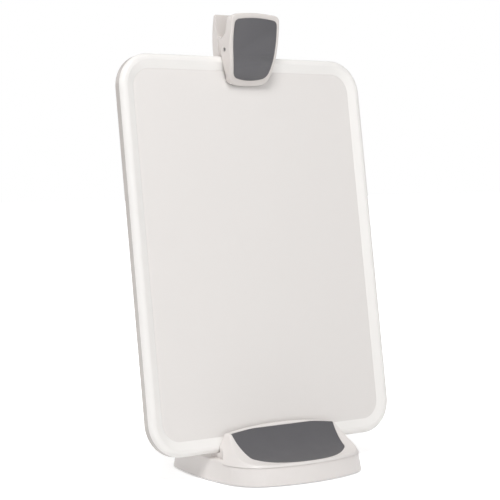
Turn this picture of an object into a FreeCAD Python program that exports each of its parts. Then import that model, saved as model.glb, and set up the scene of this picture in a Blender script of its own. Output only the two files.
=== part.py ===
import FreeCAD, Part
import math
import os
import Sketcher
from FreeCAD import Placement, Rotation, Vector

# Copy holder: a weighted desk base with a scooped soft pad, a leaning board in its slot,
# and a sprung clip at the top of the board. Millimetres, +Z up, -Y towards the reader.
# The origin is on the desk under the middle of the base.

os.makedirs("parts", exist_ok=True)
doc = FreeCAD.newDocument("CopyHolder")

# Driving dimensions: alias, value, what it is
DIMENSIONS = [
    ("lean", 9.1, "board leans back from upright, degrees"),
    ("desk_gap", 1.0, "underside of the base above the desk"),
    ("seat_back", -21.7, "Y of the panel face at the board's lower edge"),
    ("seat_height", 21.6, "Z of the panel face at the board's lower edge"),
    ("board_width", 238.4, "board, side to side"),
    ("board_height", 320.0, "board, lower edge to upper edge"),
    ("board_corner", 28.0, "outer corner radius of the board"),
    ("board_back", 7.0, "back of the board behind the panel face"),
    ("rim_crest", 2.8, "rim above the panel face"),
    ("rim_width", 12.0, "rim with its inner slope, across"),
    ("rim_round", 4.0, "radius on the rim's outer edge"),
    ("slope_run", 6.6, "inner slope of the rim, across"),
    ("slope_fall", 2.7, "inner slope of the rim, down"),
    ("panel_thick", 2.0, "panel of the tray"),
    ("tray_wall", 2.4, "side wall of the tray"),
    ("cover_thick", 2.0, "back cover of the board"),
    ("cover_gap", 0.2, "between the back cover and the tray's wall"),
    ("cover_screw_inset", 22.0, "cover screws from the board's edges"),
    ("boss_radius", 3.6, "screw bosses of the tray"),
    ("screw_shank", 1.3, "shank radius of the small screws"),
    ("screw_head", 2.6, "head radius of the small screws"),
    ("head_thick", 1.1, "head thickness of the small screws"),
    ("screw_gap", 0.1, "clearance round a screw"),
    ("base_half", 68.0, "half width of the base"),
    ("base_front", 75.5, "front of the base from the origin"),
    ("base_rear", 75.5, "rear of the base from the origin"),
    ("nose_radius", 140.0, "outline radius of the base's front"),
    ("flank_radius", 190.0, "outline radius of the base's sides"),
    ("deck_top", 17.6, "top of the base's deck above the desk"),
    ("deck_draft", 3.0, "deck outline drawn in at its top"),
    ("deck_round", 2.6, "radius on the deck's upper edge"),
    ("base_wall", 2.8, "wall of the base"),
    ("cradle_top", 40.4, "top of the cradle in the middle"),
    ("cradle_drop", 5.2, "cradle's top falls to its ears by"),
    ("cradle_draft", 17.0, "outline drawn in at the cradle's top"),
    ("ear_half", 58.5, "half width of the cradle at the slot"),
    ("ear_flare", 14.0, "radius of the hollow beside each ear"),
    ("shoulder_round", 3.0, "radius on the cradle's upper outer edges"),
    ("scoop_round", 1.8, "radius on the scoop's edge"),
    ("slot_front_gap", 0.5, "clearance in front of the rim in the slot"),
    ("slot_rear_gap", 0.3, "clearance behind the board in the slot"),
    ("slot_lip", 5.5, "cradle in front of the slot, at its top"),
    ("slot_rear_wall", 3.0, "wall behind the slot"),
    ("slot_rear_top", 34.7, "top of the wall behind the slot"),
    ("scoop_radius", 48.0, "radius of the hollow in front of the board"),
    ("scoop_floor", 17.0, "lowest line of the scoop above the desk"),
    ("scoop_setback", 7.3, "lowest line of the scoop behind the front"),
    ("pad_thick", 2.0, "soft pad"),
    ("pad_sink", 0.3, "pad's face below the scoop"),
    ("pad_half", 51.0, "half width of the pad at its top"),
    ("pad_low_half", 46.4, "half width of the pad at its lower corners"),
    ("pad_margin", 5.0, "white rim in front of the pad"),
    ("pad_side_length", 23.6, "straight side of the pad"),
    ("pad_corner", 6.0, "corner radius of the pad"),
    ("plate_thick", 2.0, "bottom plate"),
    ("plate_gap", 0.3, "between the bottom plate and the wall"),
    ("foot_radius", 8.0, "rubber feet"),
    ("foot_thick", 1.6, "rubber feet, with what sits in the plate"),
    ("foot_x", 43.0, "feet from the middle, sideways"),
    ("foot_front", 46.0, "front feet from the origin"),
    ("foot_rear", 40.0, "rear feet from the origin"),
    ("weight_half", 34.0, "half width of the steel weight"),
    ("weight_length", 76.0, "steel weight, front to rear"),
    ("weight_thick", 7.0, "steel weight"),
    ("plate_screw_x", 51.0, "plate screws from the middle, sideways"),
    ("plate_screw_front", 27.0, "front plate screws from the origin"),
    ("plate_screw_rear", 18.0, "rear plate screws from the origin"),
    ("rest_height", 92.0, "back rest above the board's lower edge"),
    ("rest_half", 34.0, "half width of the back rest at its foot"),
    ("rest_top_half", 25.0, "half width of the back rest at its top"),
    ("rest_depth", 52.0, "back rest's foot, front to rear"),
    ("rest_top_depth", 8.0, "back rest's top, front to rear"),
    ("rest_wall", 2.6, "wall of the back rest"),
    ("rest_gap", 0.15, "between the back rest and the board"),
    ("rest_screw_x", 18.0, "back rest screws from the middle"),
    ("pivot_up", 323.5, "clip pivot above the board's lower edge"),
    ("pivot_out", 9.5, "clip pivot in front of the panel face"),
    ("pin_radius", 1.75, "hinge pin"),
    ("pin_fit", 0.06, "running clearance of the hinge pin"),
    ("pin_recess", 1.2, "pin's ends below the jaw's sides"),
    ("jaw_half", 24.2, "half width of the jaw at its widest"),
    ("jaw_top_half", 23.6, "half width of the jaw at its top"),
    ("jaw_low_half", 19.5, "half width of the jaw at its lip"),
    ("jaw_top", 351.4, "top of the jaw above the board's lower edge"),
    ("jaw_lip", 295.2, "lip of the jaw above the board's lower edge"),
    ("jaw_tilt", 15.9, "jaw's face leans from the board, degrees"),
    ("jaw_face_out", 8.4, "jaw's face in front of the pivot"),
    ("jaw_bend", 48.0, "radius of the jaw's face towards its lip"),
    ("jaw_bend_start", 5.5, "start of the bend below the pivot"),
    ("jaw_bend_sweep", 34.0, "sweep of the bend, degrees"),
    ("jaw_top_bow", 1.8, "bow of the jaw's top edge"),
    ("jaw_low_bow", 2.3, "bow of the jaw's lip"),
    ("jaw_widest", 0.42, "widest place below the jaw's top, as a share of its height"),
    ("jaw_top_corner", 5.0, "corner radius at the jaw's top"),
    ("jaw_low_corner", 8.0, "corner radius at the jaw's lip"),
    ("jaw_knee", 13.0, "foot of the jaw's shallow sides above the pivot"),
    ("jaw_ear_top", 7.5, "top of the jaw's ears above the pivot"),
    ("jaw_ear_slant", 3.0, "slanted top of the jaw's ears"),
    ("jaw_ear_low", 9.0, "lower end of the jaw's ears below the board's top edge"),
    ("jaw_wall", 2.2, "wall of the jaw"),
    ("jaw_return", 5.5, "depth of the jaw's upper sides"),
    ("jaw_round", 1.6, "radius on the jaw's front edge"),
    ("jaw_ear_back", 3.9, "back of the jaw's ears above the panel face"),
    ("jaw_pad_side", 3.2, "jaw pad inside the jaw's sides"),
    ("jaw_pad_top", 4.4, "jaw pad below the jaw's top"),
    ("jaw_pad_low", 3.9, "jaw pad above the jaw's lip"),
    ("jaw_pad_top_corner", 4.2, "corner radius at the jaw pad's top"),
    ("jaw_pad_low_corner", 6.5, "corner radius at the jaw pad's foot"),
    ("jaw_pad_sunk", 1.0, "jaw pad let into the jaw"),
    ("jaw_pad_proud", 0.6, "jaw pad above the jaw's face"),
    ("grip_half", 14.0, "half width of the grip strip"),
    ("grip_height", 3.6, "grip strip, up the board"),
    ("grip_low", 1.2, "grip strip above the jaw's lip"),
    ("grip_hold", 1.2, "grip strip let into the lip"),
    ("grip_cover", 1.6, "lip above the grip strip"),
    ("grip_thick", 2.6, "grip strip"),
    ("grip_gap", 0.3, "grip strip above the panel face at rest"),
    ("lever_half", 21.4, "half width of the rear lever"),
    ("lever_top", 355.8, "top of the rear lever above the board's lower edge"),
    ("lever_thick", 8.6, "rear lever"),
    ("lever_front", -2.2, "front of the rear lever from the panel face"),
    ("lever_foot_half", 17.0, "half width of the lever's foot"),
    ("lever_foot_low", 268.0, "lower end of the lever's foot"),
    ("lever_foot_thick", 3.0, "lever's foot"),
    ("lug_thick", 3.0, "hinge lugs"),
    ("lug_gap", 1.0, "between a lug and the jaw's side"),
    ("lug_radius", 4.6, "hinge lugs round the pin"),
    ("lug_top", 14.7, "top of a lug's web above the pivot"),
    ("lug_slant", 30.0, "where a lug's web leaves its ring, degrees"),
    ("lug_fit", 0.02, "clearance of the pin in the lugs"),
    ("lug_seat", 0.5, "lugs above the board's top edge"),
    ("lever_round", 1.2, "radius on the lever's side edges"),
    ("lever_shoulder", 12.0, "rounded sides of the lever below the board's top edge"),
    ("spring_radius", 3.6, "mean radius of the spring's coil"),
    ("spring_wire", 1.2, "wire of the spring"),
    ("spring_pitch", 2.0, "pitch of the spring's coil"),
    ("spring_leg", 13.0, "straight legs of the spring"),
    ("spring_seat_gap", 0.3, "between the spring's legs and their seats"),
]

sheet = doc.addObject("Spreadsheet::Sheet", "Dims")
for row, (alias, value, note) in enumerate(DIMENSIONS, start=1):
    sheet.set("A%d" % row, alias)
    sheet.set("B%d" % row, str(value))
    sheet.setAlias("B%d" % row, alias)
    sheet.set("C%d" % row, note)
doc.recompute()

SPRING_HALF_TURNS = 11
MILLIMETRE = 1.0
TOUCH = 0.001
FAR = 400.0
CLIP_SPAN = 80.0
OVER = 8.0


class Sizes:
    """Reads the driving dimensions by name."""

    def __getattr__(self, name):
        return float(getattr(sheet, name))


d = Sizes()


def bind(obj, **expressions):
    """Ties an object's properties to cells of the sheet."""
    for prop, text in expressions.items():
        obj.setExpression(prop.replace("__", "."), text)


def board_frame():
    """Where the board's own frame lies: X across, Y up the board, Z out of its face."""
    return Placement(Vector(0, d.seat_back, d.seat_height), Rotation(Vector(1, 0, 0), 90 - d.lean))


def place_on_board(obj):
    """Stands a piece modelled flat in the board's frame on the leaning board."""
    obj.Placement = board_frame()
    obj.setExpression("Placement.Rotation.Angle", "90 - Dims.lean")
    obj.setExpression("Placement.Base.y", "Dims.seat_back")
    obj.setExpression("Placement.Base.z", "Dims.seat_height")


def new_body(name):
    """Starts a body whose label is the piece's name."""
    body = doc.addObject("PartDesign::Body", name)
    body.Label = name
    return body


def origin_plane(body, role):
    """Finds one of the body's own origin planes."""
    for feature in body.Origin.OriginFeatures:
        if feature.Role == role:
            return feature
    raise ValueError(role)


def new_sketch(body, name, level, centre_y=None):
    """Attaches a sketch to the body's XY plane at a height given by an expression."""
    sketch = body.newObject("Sketcher::SketchObject", name)
    sketch.AttachmentSupport = [(origin_plane(body, "XY_Plane"), "")]
    sketch.MapMode = "FlatFace"
    sketch.setExpression("AttachmentOffset.Base.z", level)
    if centre_y:
        sketch.setExpression("AttachmentOffset.Base.y", centre_y)
    return sketch


def measure(text):
    """Works out an expression of the sheet's cells."""
    return float(doc.getObject("Dims").evalExpression(text.replace("Dims.", "")))


def rounded_sketch(body, name, level, centre_y, width, height, radius):
    """Draws a rounded rectangle about the sketch's origin, with its sizes tied to the sheet."""
    sketch = new_sketch(body, name, level, centre_y)
    half_w, half_h, r = measure(width) / 2, measure(height) / 2, measure(radius)
    inner_x, inner_y = half_w - r, half_h - r
    corners = [(inner_x, -inner_y, -90), (inner_x, inner_y, 0), (-inner_x, inner_y, 90), (-inner_x, -inner_y, 180)]
    lines = [((-inner_x, -half_h), (inner_x, -half_h)), ((half_w, -inner_y), (half_w, inner_y)),
             ((inner_x, half_h), (-inner_x, half_h)), ((-half_w, inner_y), (-half_w, -inner_y))]
    geometry = []
    for (start, end), (cx, cy, angle) in zip(lines, corners):
        geometry.append(Part.LineSegment(Vector(*start, 0), Vector(*end, 0)))
        circle = Part.Circle(Vector(cx, cy, 0), Vector(0, 0, 1), r)
        geometry.append(Part.ArcOfCircle(circle, math.radians(angle), math.radians(angle + 90)))
    sketch.addGeometry(geometry, False)
    links = []
    for index in range(8):
        links.append(Sketcher.Constraint("Tangent", index, 2, (index + 1) % 8, 1))
    for line in (0, 4):
        links.append(Sketcher.Constraint("Horizontal", line))
    for line in (2, 6):
        links.append(Sketcher.Constraint("Vertical", line))
    for arc in (3, 5):
        links.append(Sketcher.Constraint("Equal", 1, arc))
    links.append(Sketcher.Constraint("Symmetric", 1, 3, 5, 3, -1, 1))
    sketch.addConstraint(links)
    for label, constraint, text in (
            ("radius", Sketcher.Constraint("Radius", 1, r), radius),
            ("width", Sketcher.Constraint("DistanceX", 6, 1, 2, 1, 2 * half_w), width),
            ("height", Sketcher.Constraint("DistanceY", 0, 1, 4, 1, 2 * half_h), height)):
        index = sketch.addConstraint(constraint)
        sketch.renameConstraint(index, label)
        sketch.setExpression("Constraints." + label, text)
    return sketch


def circles_sketch(body, name, level, centres, radius):
    """Draws equal circles at centres given as pairs of expressions, mirrored by their signs."""
    sketch = new_sketch(body, name, level)
    for index, (x_sign, x_text, y_sign, y_text) in enumerate(centres):
        x, y = x_sign * measure(x_text), y_sign * measure(y_text)
        sketch.addGeometry(Part.Circle(Vector(x, y, 0), Vector(0, 0, 1), measure(radius)), False)
        for kind, sign, text in (("DistanceX", x_sign, x_text), ("DistanceY", y_sign, y_text)):
            ends = (-1, 1, index, 3) if sign > 0 else (index, 3, -1, 1)
            number = sketch.addConstraint(Sketcher.Constraint(kind, *ends, measure(text)))
            label = "%s%d" % (kind, index)
            sketch.renameConstraint(number, label)
            sketch.setExpression("Constraints." + label, text)
        number = sketch.addConstraint(Sketcher.Constraint("Radius", index, measure(radius)))
        sketch.renameConstraint(number, "radius%d" % index)
        sketch.setExpression("Constraints.radius%d" % index, radius)
    return sketch


def pad(body, sketch, name, length, reverse=False):
    """Pads a sketch by a length given by an expression."""
    feature = body.newObject("PartDesign::Pad", name)
    feature.Profile = sketch
    feature.Reversed = reverse
    feature.setExpression("Length", length)
    doc.recompute()
    return feature


def pocket(body, sketch, name, length, reverse=False):
    """Cuts a pocket and checks that it removed something."""
    before = body.Shape.Volume
    feature = body.newObject("PartDesign::Pocket", name)
    feature.Profile = sketch
    feature.Reversed = reverse
    feature.setExpression("Length", length)
    doc.recompute()
    if body.Shape.Volume >= before - 1e-6:
        raise ValueError("pocket %s cuts nothing" % name)
    return feature


def edges_where(feature, test):
    """Names the edges of a feature whose box passes the test."""
    names = []
    for number, edge in enumerate(feature.Shape.Edges, start=1):
        if test(edge.BoundBox):
            names.append("Edge%d" % number)
    return names


def feature_piece(name, shape, on_board=False):
    """Adds a piece whose shape is made by functions, and places it."""
    piece = doc.addObject("Part::Feature", name)
    piece.Label = name
    piece.Shape = shape
    if on_board:
        place_on_board(piece)
    return piece


def outline_wire(points):
    """Closes a chain of points with straight edges."""
    edges = []
    for start, end in zip(points, points[1:] + points[:1]):
        edges.append(Part.makeLine(start, end))
    return Part.Wire(edges)


def arc(start, middle, end):
    """An arc through three points."""
    return Part.Arc(Vector(*start), Vector(*middle), Vector(*end)).toShape()


def line(start, end):
    """A straight edge."""
    return Part.makeLine(Vector(*start), Vector(*end))


# Headings, in degrees, at which the arcs of the base's outline meet, from its front to its rear
HEADINGS = [math.radians(angle) for angle in (0, 18, 78, 102, 120, 180)]


def outline_radii():
    """Radii of the five tangent arcs of half the base's outline, front to rear."""
    turns = list(zip(HEADINGS, HEADINGS[1:]))
    across = [math.sin(end) - math.sin(start) for start, end in turns]
    along = [math.cos(start) - math.cos(end) for start, end in turns]
    nose, flank = d.nose_radius, d.flank_radius
    bulge = flank * (1 - math.sin(HEADINGS[2]))
    corner = (d.base_half - nose * across[0] - bulge) / across[1]
    run = d.base_half - bulge
    rise = d.base_front + d.base_rear - nose * along[0] - corner * along[1] - flank * along[2]
    quarter = (rise * across[4] + run * along[4]) / (along[3] * across[4] - across[3] * along[4])
    rear = (run + quarter * across[3]) / -across[4]
    return [nose, corner, flank, quarter, rear]


def base_outline(inset, height):
    """The base's outline of tangent arcs, drawn in by an inset, as a closed wire."""
    place = Vector(0, -d.base_front + inset, height)
    edges = []
    for radius, start, end in zip(outline_radii(), HEADINGS, HEADINGS[1:]):
        r = radius - inset
        middle = (start + end) / 2
        stops = []
        for heading in (start, middle, end):
            step = Vector(math.sin(heading) - math.sin(start), math.cos(start) - math.cos(heading), 0)
            stops.append(place + step * r)
        edges.append(Part.Arc(*stops).toShape())
        place = stops[-1]
    mirrored = []
    for edge in reversed(edges):
        points = [edge.valueAt(edge.LastParameter),
                  edge.valueAt((edge.FirstParameter + edge.LastParameter) / 2), edge.valueAt(edge.FirstParameter)]
        mirrored.append(Part.Arc(*[Vector(-p.x, p.y, p.z) for p in points]).toShape())
    return Part.Wire(Part.sortEdges(edges + mirrored)[0])


def tapered(low_inset, low, high_inset, high):
    """A solid between two of the base's outlines."""
    return Part.makeLoft([base_outline(low_inset, low), base_outline(high_inset, high)], True, True)


def board_block(half, low, high, back, front, mid=0.0):
    """A block given in the board's frame, placed where the board stands."""
    block = Part.makeBox(2 * half, high - low, front - back, Vector(mid - half, low, back))
    block.Placement = board_frame()
    return block


def board_point(up, out):
    """Y and Z of a point given in the board's frame."""
    point = board_frame().multVec(Vector(0, up, out))
    return point.y, point.z


def depth_at(out, height):
    """Y at which a plane parallel to the board's face stands at a height."""
    low = board_point(0, out)[1]
    up = (height - low) / math.cos(math.radians(d.lean))
    return board_point(up, out)[0]


def slot_front():
    """Front wall of the board's slot, from the panel face."""
    return d.rim_crest + d.slot_front_gap


def slot_rear():
    """Rear wall of the board's slot, from the panel face."""
    return -d.board_back - d.slot_rear_gap


def scoop_axis():
    """Y and Z of the axis of the scoop's round surface."""
    return -d.base_front + d.scoop_setback, d.scoop_floor + d.scoop_radius


def scoop_cylinder(radius, half):
    """A round bar along the scoop's axis."""
    centre_y, centre_z = scoop_axis()
    return Part.makeCylinder(radius, 2 * half, Vector(-half, centre_y, centre_z), Vector(1, 0, 0))


def post(x, y, low, high, radius):
    """An upright round bar."""
    return Part.makeCylinder(radius, high - low, Vector(x, y, low))


def cradle_plan():
    """Plan of the cradle: full width in front, drawn in to the ears beside the slot."""
    ear, flare = d.ear_half, d.ear_flare
    slot_y = depth_at(slot_front(), d.seat_height)
    rear_y = depth_at(slot_rear() - d.slot_rear_wall, d.deck_top)
    wide, front = d.base_half + 2 * flare, -d.base_front - flare
    turn = math.sqrt(0.5) * flare
    right = [line((wide, front, 0), (wide, slot_y - flare, 0)),
             line((wide, slot_y - flare, 0), (ear + flare, slot_y - flare, 0)),
             arc((ear + flare, slot_y - flare, 0), (ear + flare - turn, slot_y - turn, 0), (ear, slot_y, 0)),
             line((ear, slot_y, 0), (ear, rear_y, 0))]
    ends = [line((-wide, front, 0), (wide, front, 0)), line((ear, rear_y, 0), (-ear, rear_y, 0))]
    left = [edge.mirror(Vector(0, 0, 0), Vector(1, 0, 0)) for edge in right]
    wire = Part.Wire(Part.sortEdges(ends + right + left)[0])
    return Part.Face(wire).extrude(Vector(0, 0, FAR))


def cradle_arch(drop=0.0):
    """What lies under the cradle's arched top."""
    ear, top = d.ear_half, d.cradle_top - drop
    radius = (ear ** 2 + d.cradle_drop ** 2) / (2 * d.cradle_drop)
    bar = Part.makeCylinder(radius, 2 * FAR, Vector(0, -FAR, top - radius), Vector(0, 1, 0))
    return bar


def pad_plan(inset=0.0):
    """Plan of the soft pad, from its straight top edge to its round front."""
    front = -d.base_front + d.pad_margin + inset
    top = depth_at(slot_front() + d.slot_lip, d.cradle_top)
    corner = top - d.pad_side_length
    high, low = d.pad_half - inset, d.pad_low_half - inset
    edges = [line((-high, top, 0), (high, top, 0)), line((high, top, 0), (low, corner, 0)),
             arc((low, corner, 0), (0, front, 0), (-low, corner, 0)), line((-low, corner, 0), (-high, top, 0))]
    prism = Part.Face(Part.Wire(edges)).extrude(Vector(0, 0, FAR))
    corners = []
    for edge in prism.Edges:
        box = edge.BoundBox
        if box.ZLength > FAR / 2 and abs(box.YMin - corner) < 1e-3:
            corners.append(edge)
    return prism.makeFillet(d.pad_corner - inset, corners)


def ceiling():
    """Underside of the deck."""
    return d.deck_top - d.base_wall


def plate_top():
    """Upper face of the bottom plate."""
    return d.desk_gap + d.plate_thick


def plate_screw_places():
    """X and Y of the screws that hold the bottom plate."""
    for side in (-1, 1):
        for y in (-d.plate_screw_front, d.plate_screw_rear):
            yield side * d.plate_screw_x, y


def rest_screw_places():
    """X and Y of the screws that hold the back rest."""
    middle = rest_foot_front() + d.rest_depth / 2
    for side in (-1, 1):
        yield side * d.rest_screw_x, middle


def rest_foot_front():
    """Y of the back rest's foot behind the slot's rear wall."""
    return depth_at(slot_rear() - d.slot_rear_wall - d.rest_gap, d.deck_top)


def screw(x, y, z, length, direction=1):
    """A small screw, its head's outer face at the point, its shank along Z."""
    axis = Vector(0, 0, direction)
    head = Part.makeCylinder(d.screw_head, d.head_thick, Vector(x, y, z), axis)
    shank = Part.makeCylinder(d.screw_shank, length, Vector(x, y, z), axis)
    solid = head.fuse(shank)
    slot_half, slot_width = d.screw_head * 0.6, d.screw_head * 0.22
    depth = d.head_thick * 0.5
    low = z if direction > 0 else z - depth
    for wide, deep in ((slot_half, slot_width), (slot_width, slot_half)):
        solid = solid.cut(Part.makeBox(2 * wide, 2 * deep, depth, Vector(x - wide, y - deep, low)))
    return solid


def inner_inset(height):
    """How far the inside of the deck's wall stands in from the base's outline at a height."""
    rise = (height - d.desk_gap) / (d.deck_top - d.desk_gap)
    return d.base_wall + d.deck_draft * rise


def largest(shape):
    """The largest solid of a shape."""
    return max(shape.Solids, key=lambda solid: solid.Volume)


def on_scoop(edge):
    """Tells whether an edge lies on the scoop's round surface, above the deck."""
    centre_y, centre_z = scoop_axis()
    for share in (0.1, 0.5, 0.9):
        point = edge.valueAt(edge.FirstParameter + share * (edge.LastParameter - edge.FirstParameter))
        miss = math.hypot(point.y - centre_y, point.z - centre_z) - d.scoop_radius
        if abs(miss) > TOUCH or point.z < d.deck_top - d.deck_round + MILLIMETRE / 2:
            return False
    return True


def shoulder_edges(cradle):
    """The cradle's upper outer edges: where its arched top meets its sides, and down to the ears."""
    slot_y = depth_at(slot_front(), d.seat_height)
    found = []
    for edge in cradle.Edges:
        box = edge.BoundBox
        beside = box.XMax > d.cradle_top or box.XMin < -d.cradle_top
        arched = beside and box.ZMin > d.slot_rear_top and box.YLength > d.shoulder_round
        flared = beside and abs(box.YMin - slot_y) < MILLIMETRE and box.ZMin > d.seat_height + d.ear_flare / 2
        if arched or flared and box.YLength > d.shoulder_round:
            found.append(edge)
    return found


def cradle_body():
    """The raised part that holds the board, with its shoulders rounded, still without scoop and slot."""
    slope = (d.cradle_draft - d.deck_draft) / (d.cradle_top - d.deck_top)
    over = d.deck_round
    low_inset = d.deck_draft - slope * over + over * d.deck_draft / (d.deck_top - d.desk_gap)
    cradle = tapered(low_inset, d.deck_top - over, d.cradle_draft + slope * over, d.cradle_top + over)
    cradle = largest(cradle.common(cradle_plan()).common(cradle_arch()))
    return cradle.makeFillet(d.shoulder_round, shoulder_edges(cradle))


def base_shell():
    """The moulded shell: deck, cradle with its scoop and slot, and the hollow below."""
    deck = tapered(0, d.desk_gap, d.deck_draft, d.deck_top)
    rim = [edge for edge in deck.Edges if edge.BoundBox.ZMin > d.deck_top - TOUCH]
    deck = deck.makeFillet(d.deck_round, rim).cut(scoop_cylinder(d.scoop_radius, FAR / 2))
    slotted = cradle_body().cut(board_block(FAR, 0, FAR, slot_rear(), slot_front()))
    behind = depth_at(slot_rear(), d.slot_rear_top)
    slotted = slotted.cut(Part.makeBox(2 * FAR, FAR, FAR, Vector(-FAR, behind, d.slot_rear_top)))
    scooped = slotted.cut(scoop_cylinder(d.scoop_radius, FAR / 2))
    scooped = scooped.makeFillet(d.scoop_round, [edge for edge in scooped.Edges if on_scoop(edge)])
    shell = deck.fuse(scooped).cut(pad_seat())
    for cavity in base_cavities(d.base_wall):
        shell = shell.cut(cavity)
    bosses = []
    for x, y in plate_screw_places():
        bosses.append(post(x, y, plate_top(), ceiling() + MILLIMETRE, d.boss_radius))
    shell = shell.fuse(bosses)
    for x, y in plate_screw_places():
        shell = shell.cut(post(x, y, plate_top(), ceiling() - MILLIMETRE, d.screw_shank + d.screw_gap / 2))
    for x, y in rest_screw_places():
        shell = shell.cut(post(x, y, 0, FAR, d.screw_shank + d.screw_gap))
    return shell


def base_cavities(wall):
    """The hollows of the shell: under the deck, and under the cradle in front of the slot."""
    low = d.desk_gap - MILLIMETRE
    under = d.pad_sink + d.pad_thick + wall
    front_top = min(ceiling(), d.scoop_floor - under)
    front = tapered(inner_inset(low), low, inner_inset(front_top), front_top)
    rear = tapered(inner_inset(low), low, inner_inset(ceiling()), ceiling())
    seat_y = depth_at(slot_front(), d.seat_height)
    rear = rear.common(Part.makeBox(2 * FAR, FAR, FAR, Vector(-FAR, seat_y, 0)))
    rear = rear.cut(board_block(FAR, -wall, FAR, slot_rear() - wall, FAR))
    steep = tapered(inner_inset(ceiling()), 0, d.cradle_draft + wall, d.cradle_top)
    steep = steep.cut(scoop_cylinder(d.scoop_radius + under, FAR / 2)).common(cradle_arch(wall + d.cradle_drop))
    half = d.ear_half - wall
    steep = steep.common(Part.makeBox(2 * half, FAR, FAR, Vector(-half, seat_y - wall - FAR, 0)))
    steep = steep.cut(board_block(FAR, -FAR, FAR, -FAR, slot_front() + wall))
    return [front, rear, steep]


def pad_seat():
    """The recess that the soft pad lies in, open above."""
    sunk = scoop_cylinder(d.scoop_radius + d.pad_sink + d.pad_thick, FAR / 2)
    return pad_plan().common(sunk)


def soft_pad():
    """The soft pad, bent to the scoop."""
    band = scoop_cylinder(d.scoop_radius + d.pad_sink + d.pad_thick, FAR / 2)
    band = band.cut(scoop_cylinder(d.scoop_radius + d.pad_sink, FAR / 2))
    solid = pad_plan(d.screw_gap).common(band).common(cradle_arch(d.pad_sink))
    low = [part for part in solid.Solids if part.BoundBox.ZMin < d.cradle_top]
    return max(low, key=lambda part: part.Volume)


def bottom_plate():
    """The plate that closes the base from below."""
    plate = tapered(inner_inset(d.desk_gap) + d.plate_gap, d.desk_gap,
                    inner_inset(plate_top()) + d.plate_gap, plate_top())
    for x, y in plate_screw_places():
        plate = plate.cut(post(x, y, 0, FAR, d.screw_shank + d.screw_gap))
        plate = plate.cut(post(x, y, d.desk_gap - MILLIMETRE, d.desk_gap + d.head_thick,
                               d.screw_head + d.screw_gap))
    for x, y in weight_screw_places():
        plate = plate.cut(post(x, y, 0, FAR, d.screw_shank + d.screw_gap))
        plate = plate.cut(post(x, y, d.desk_gap - MILLIMETRE, d.desk_gap + d.head_thick,
                               d.screw_head + d.screw_gap))
    for x, y in foot_places().values():
        plate = plate.cut(post(x, y, 0, d.foot_thick, d.foot_radius + d.screw_gap))
    return plate


def weight_screw_places():
    """X and Y of the screws that hold the steel weight to the bottom plate."""
    for y in (-d.weight_length / 3, d.weight_length / 3):
        yield 0.0, y + weight_middle()


def weight_middle():
    """Y of the middle of the steel weight."""
    return (d.base_rear - d.base_front) / 2 - d.scoop_setback / 2


def steel_weight():
    """The steel plate that keeps the holder upright, with tapped holes."""
    half, length = d.weight_half, d.weight_length
    body = new_body("base_weight")
    sketch = new_sketch(body, "weight_outline", "Dims.desk_gap + Dims.plate_thick")
    low, high = weight_middle() - length / 2, weight_middle() + length / 2
    corners = [(-half, low), (half, low), (half, high), (-half, high)]
    for (x0, y0), (x1, y1) in zip(corners, corners[1:] + corners[:1]):
        sketch.addGeometry(Part.LineSegment(Vector(x0, y0, 0), Vector(x1, y1, 0)), False)
    pad(body, sketch, "weight_pad", "Dims.weight_thick")
    holes = new_sketch(body, "weight_holes", "Dims.desk_gap + Dims.plate_thick")
    for x, y in weight_screw_places():
        holes.addGeometry(Part.Circle(Vector(x, y, 0), Vector(0, 0, 1), d.screw_shank + d.screw_gap / 2), False)
    pocket(body, holes, "weight_tapping", "Dims.weight_thick - 2", reverse=True)
    return body


def foot_places():
    """X and Y of each rubber foot, by name."""
    return {"foot_front_left": (-d.foot_x, -d.foot_front), "foot_front_right": (d.foot_x, -d.foot_front),
            "foot_rear_left": (-d.foot_x, d.foot_rear), "foot_rear_right": (d.foot_x, d.foot_rear)}


def rubber_foot(name, x, y):
    """One round rubber foot with a rounded lower edge."""
    body = new_body(name)
    sketch = new_sketch(body, name + "_outline", "0")
    sketch.addGeometry(Part.Circle(Vector(x, y, 0), Vector(0, 0, 1), d.foot_radius), False)
    number = sketch.addConstraint(Sketcher.Constraint("Radius", 0, d.foot_radius))
    sketch.renameConstraint(number, "radius")
    sketch.setExpression("Constraints.radius", "Dims.foot_radius")
    feature = pad(body, sketch, name + "_pad", "Dims.foot_thick")
    chamfer = body.newObject("PartDesign::Chamfer", name + "_edge")
    chamfer.Base = (feature, edges_where(feature, lambda box: box.ZMax < 1e-3))
    chamfer.Size = 0.3
    return body


def back_rest():
    """The hollow easel behind the board, standing on the deck."""
    return rest_block(0.0).cut(rest_block(d.rest_wall)).fuse(rest_bosses()).cut(rest_pilots())


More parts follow.
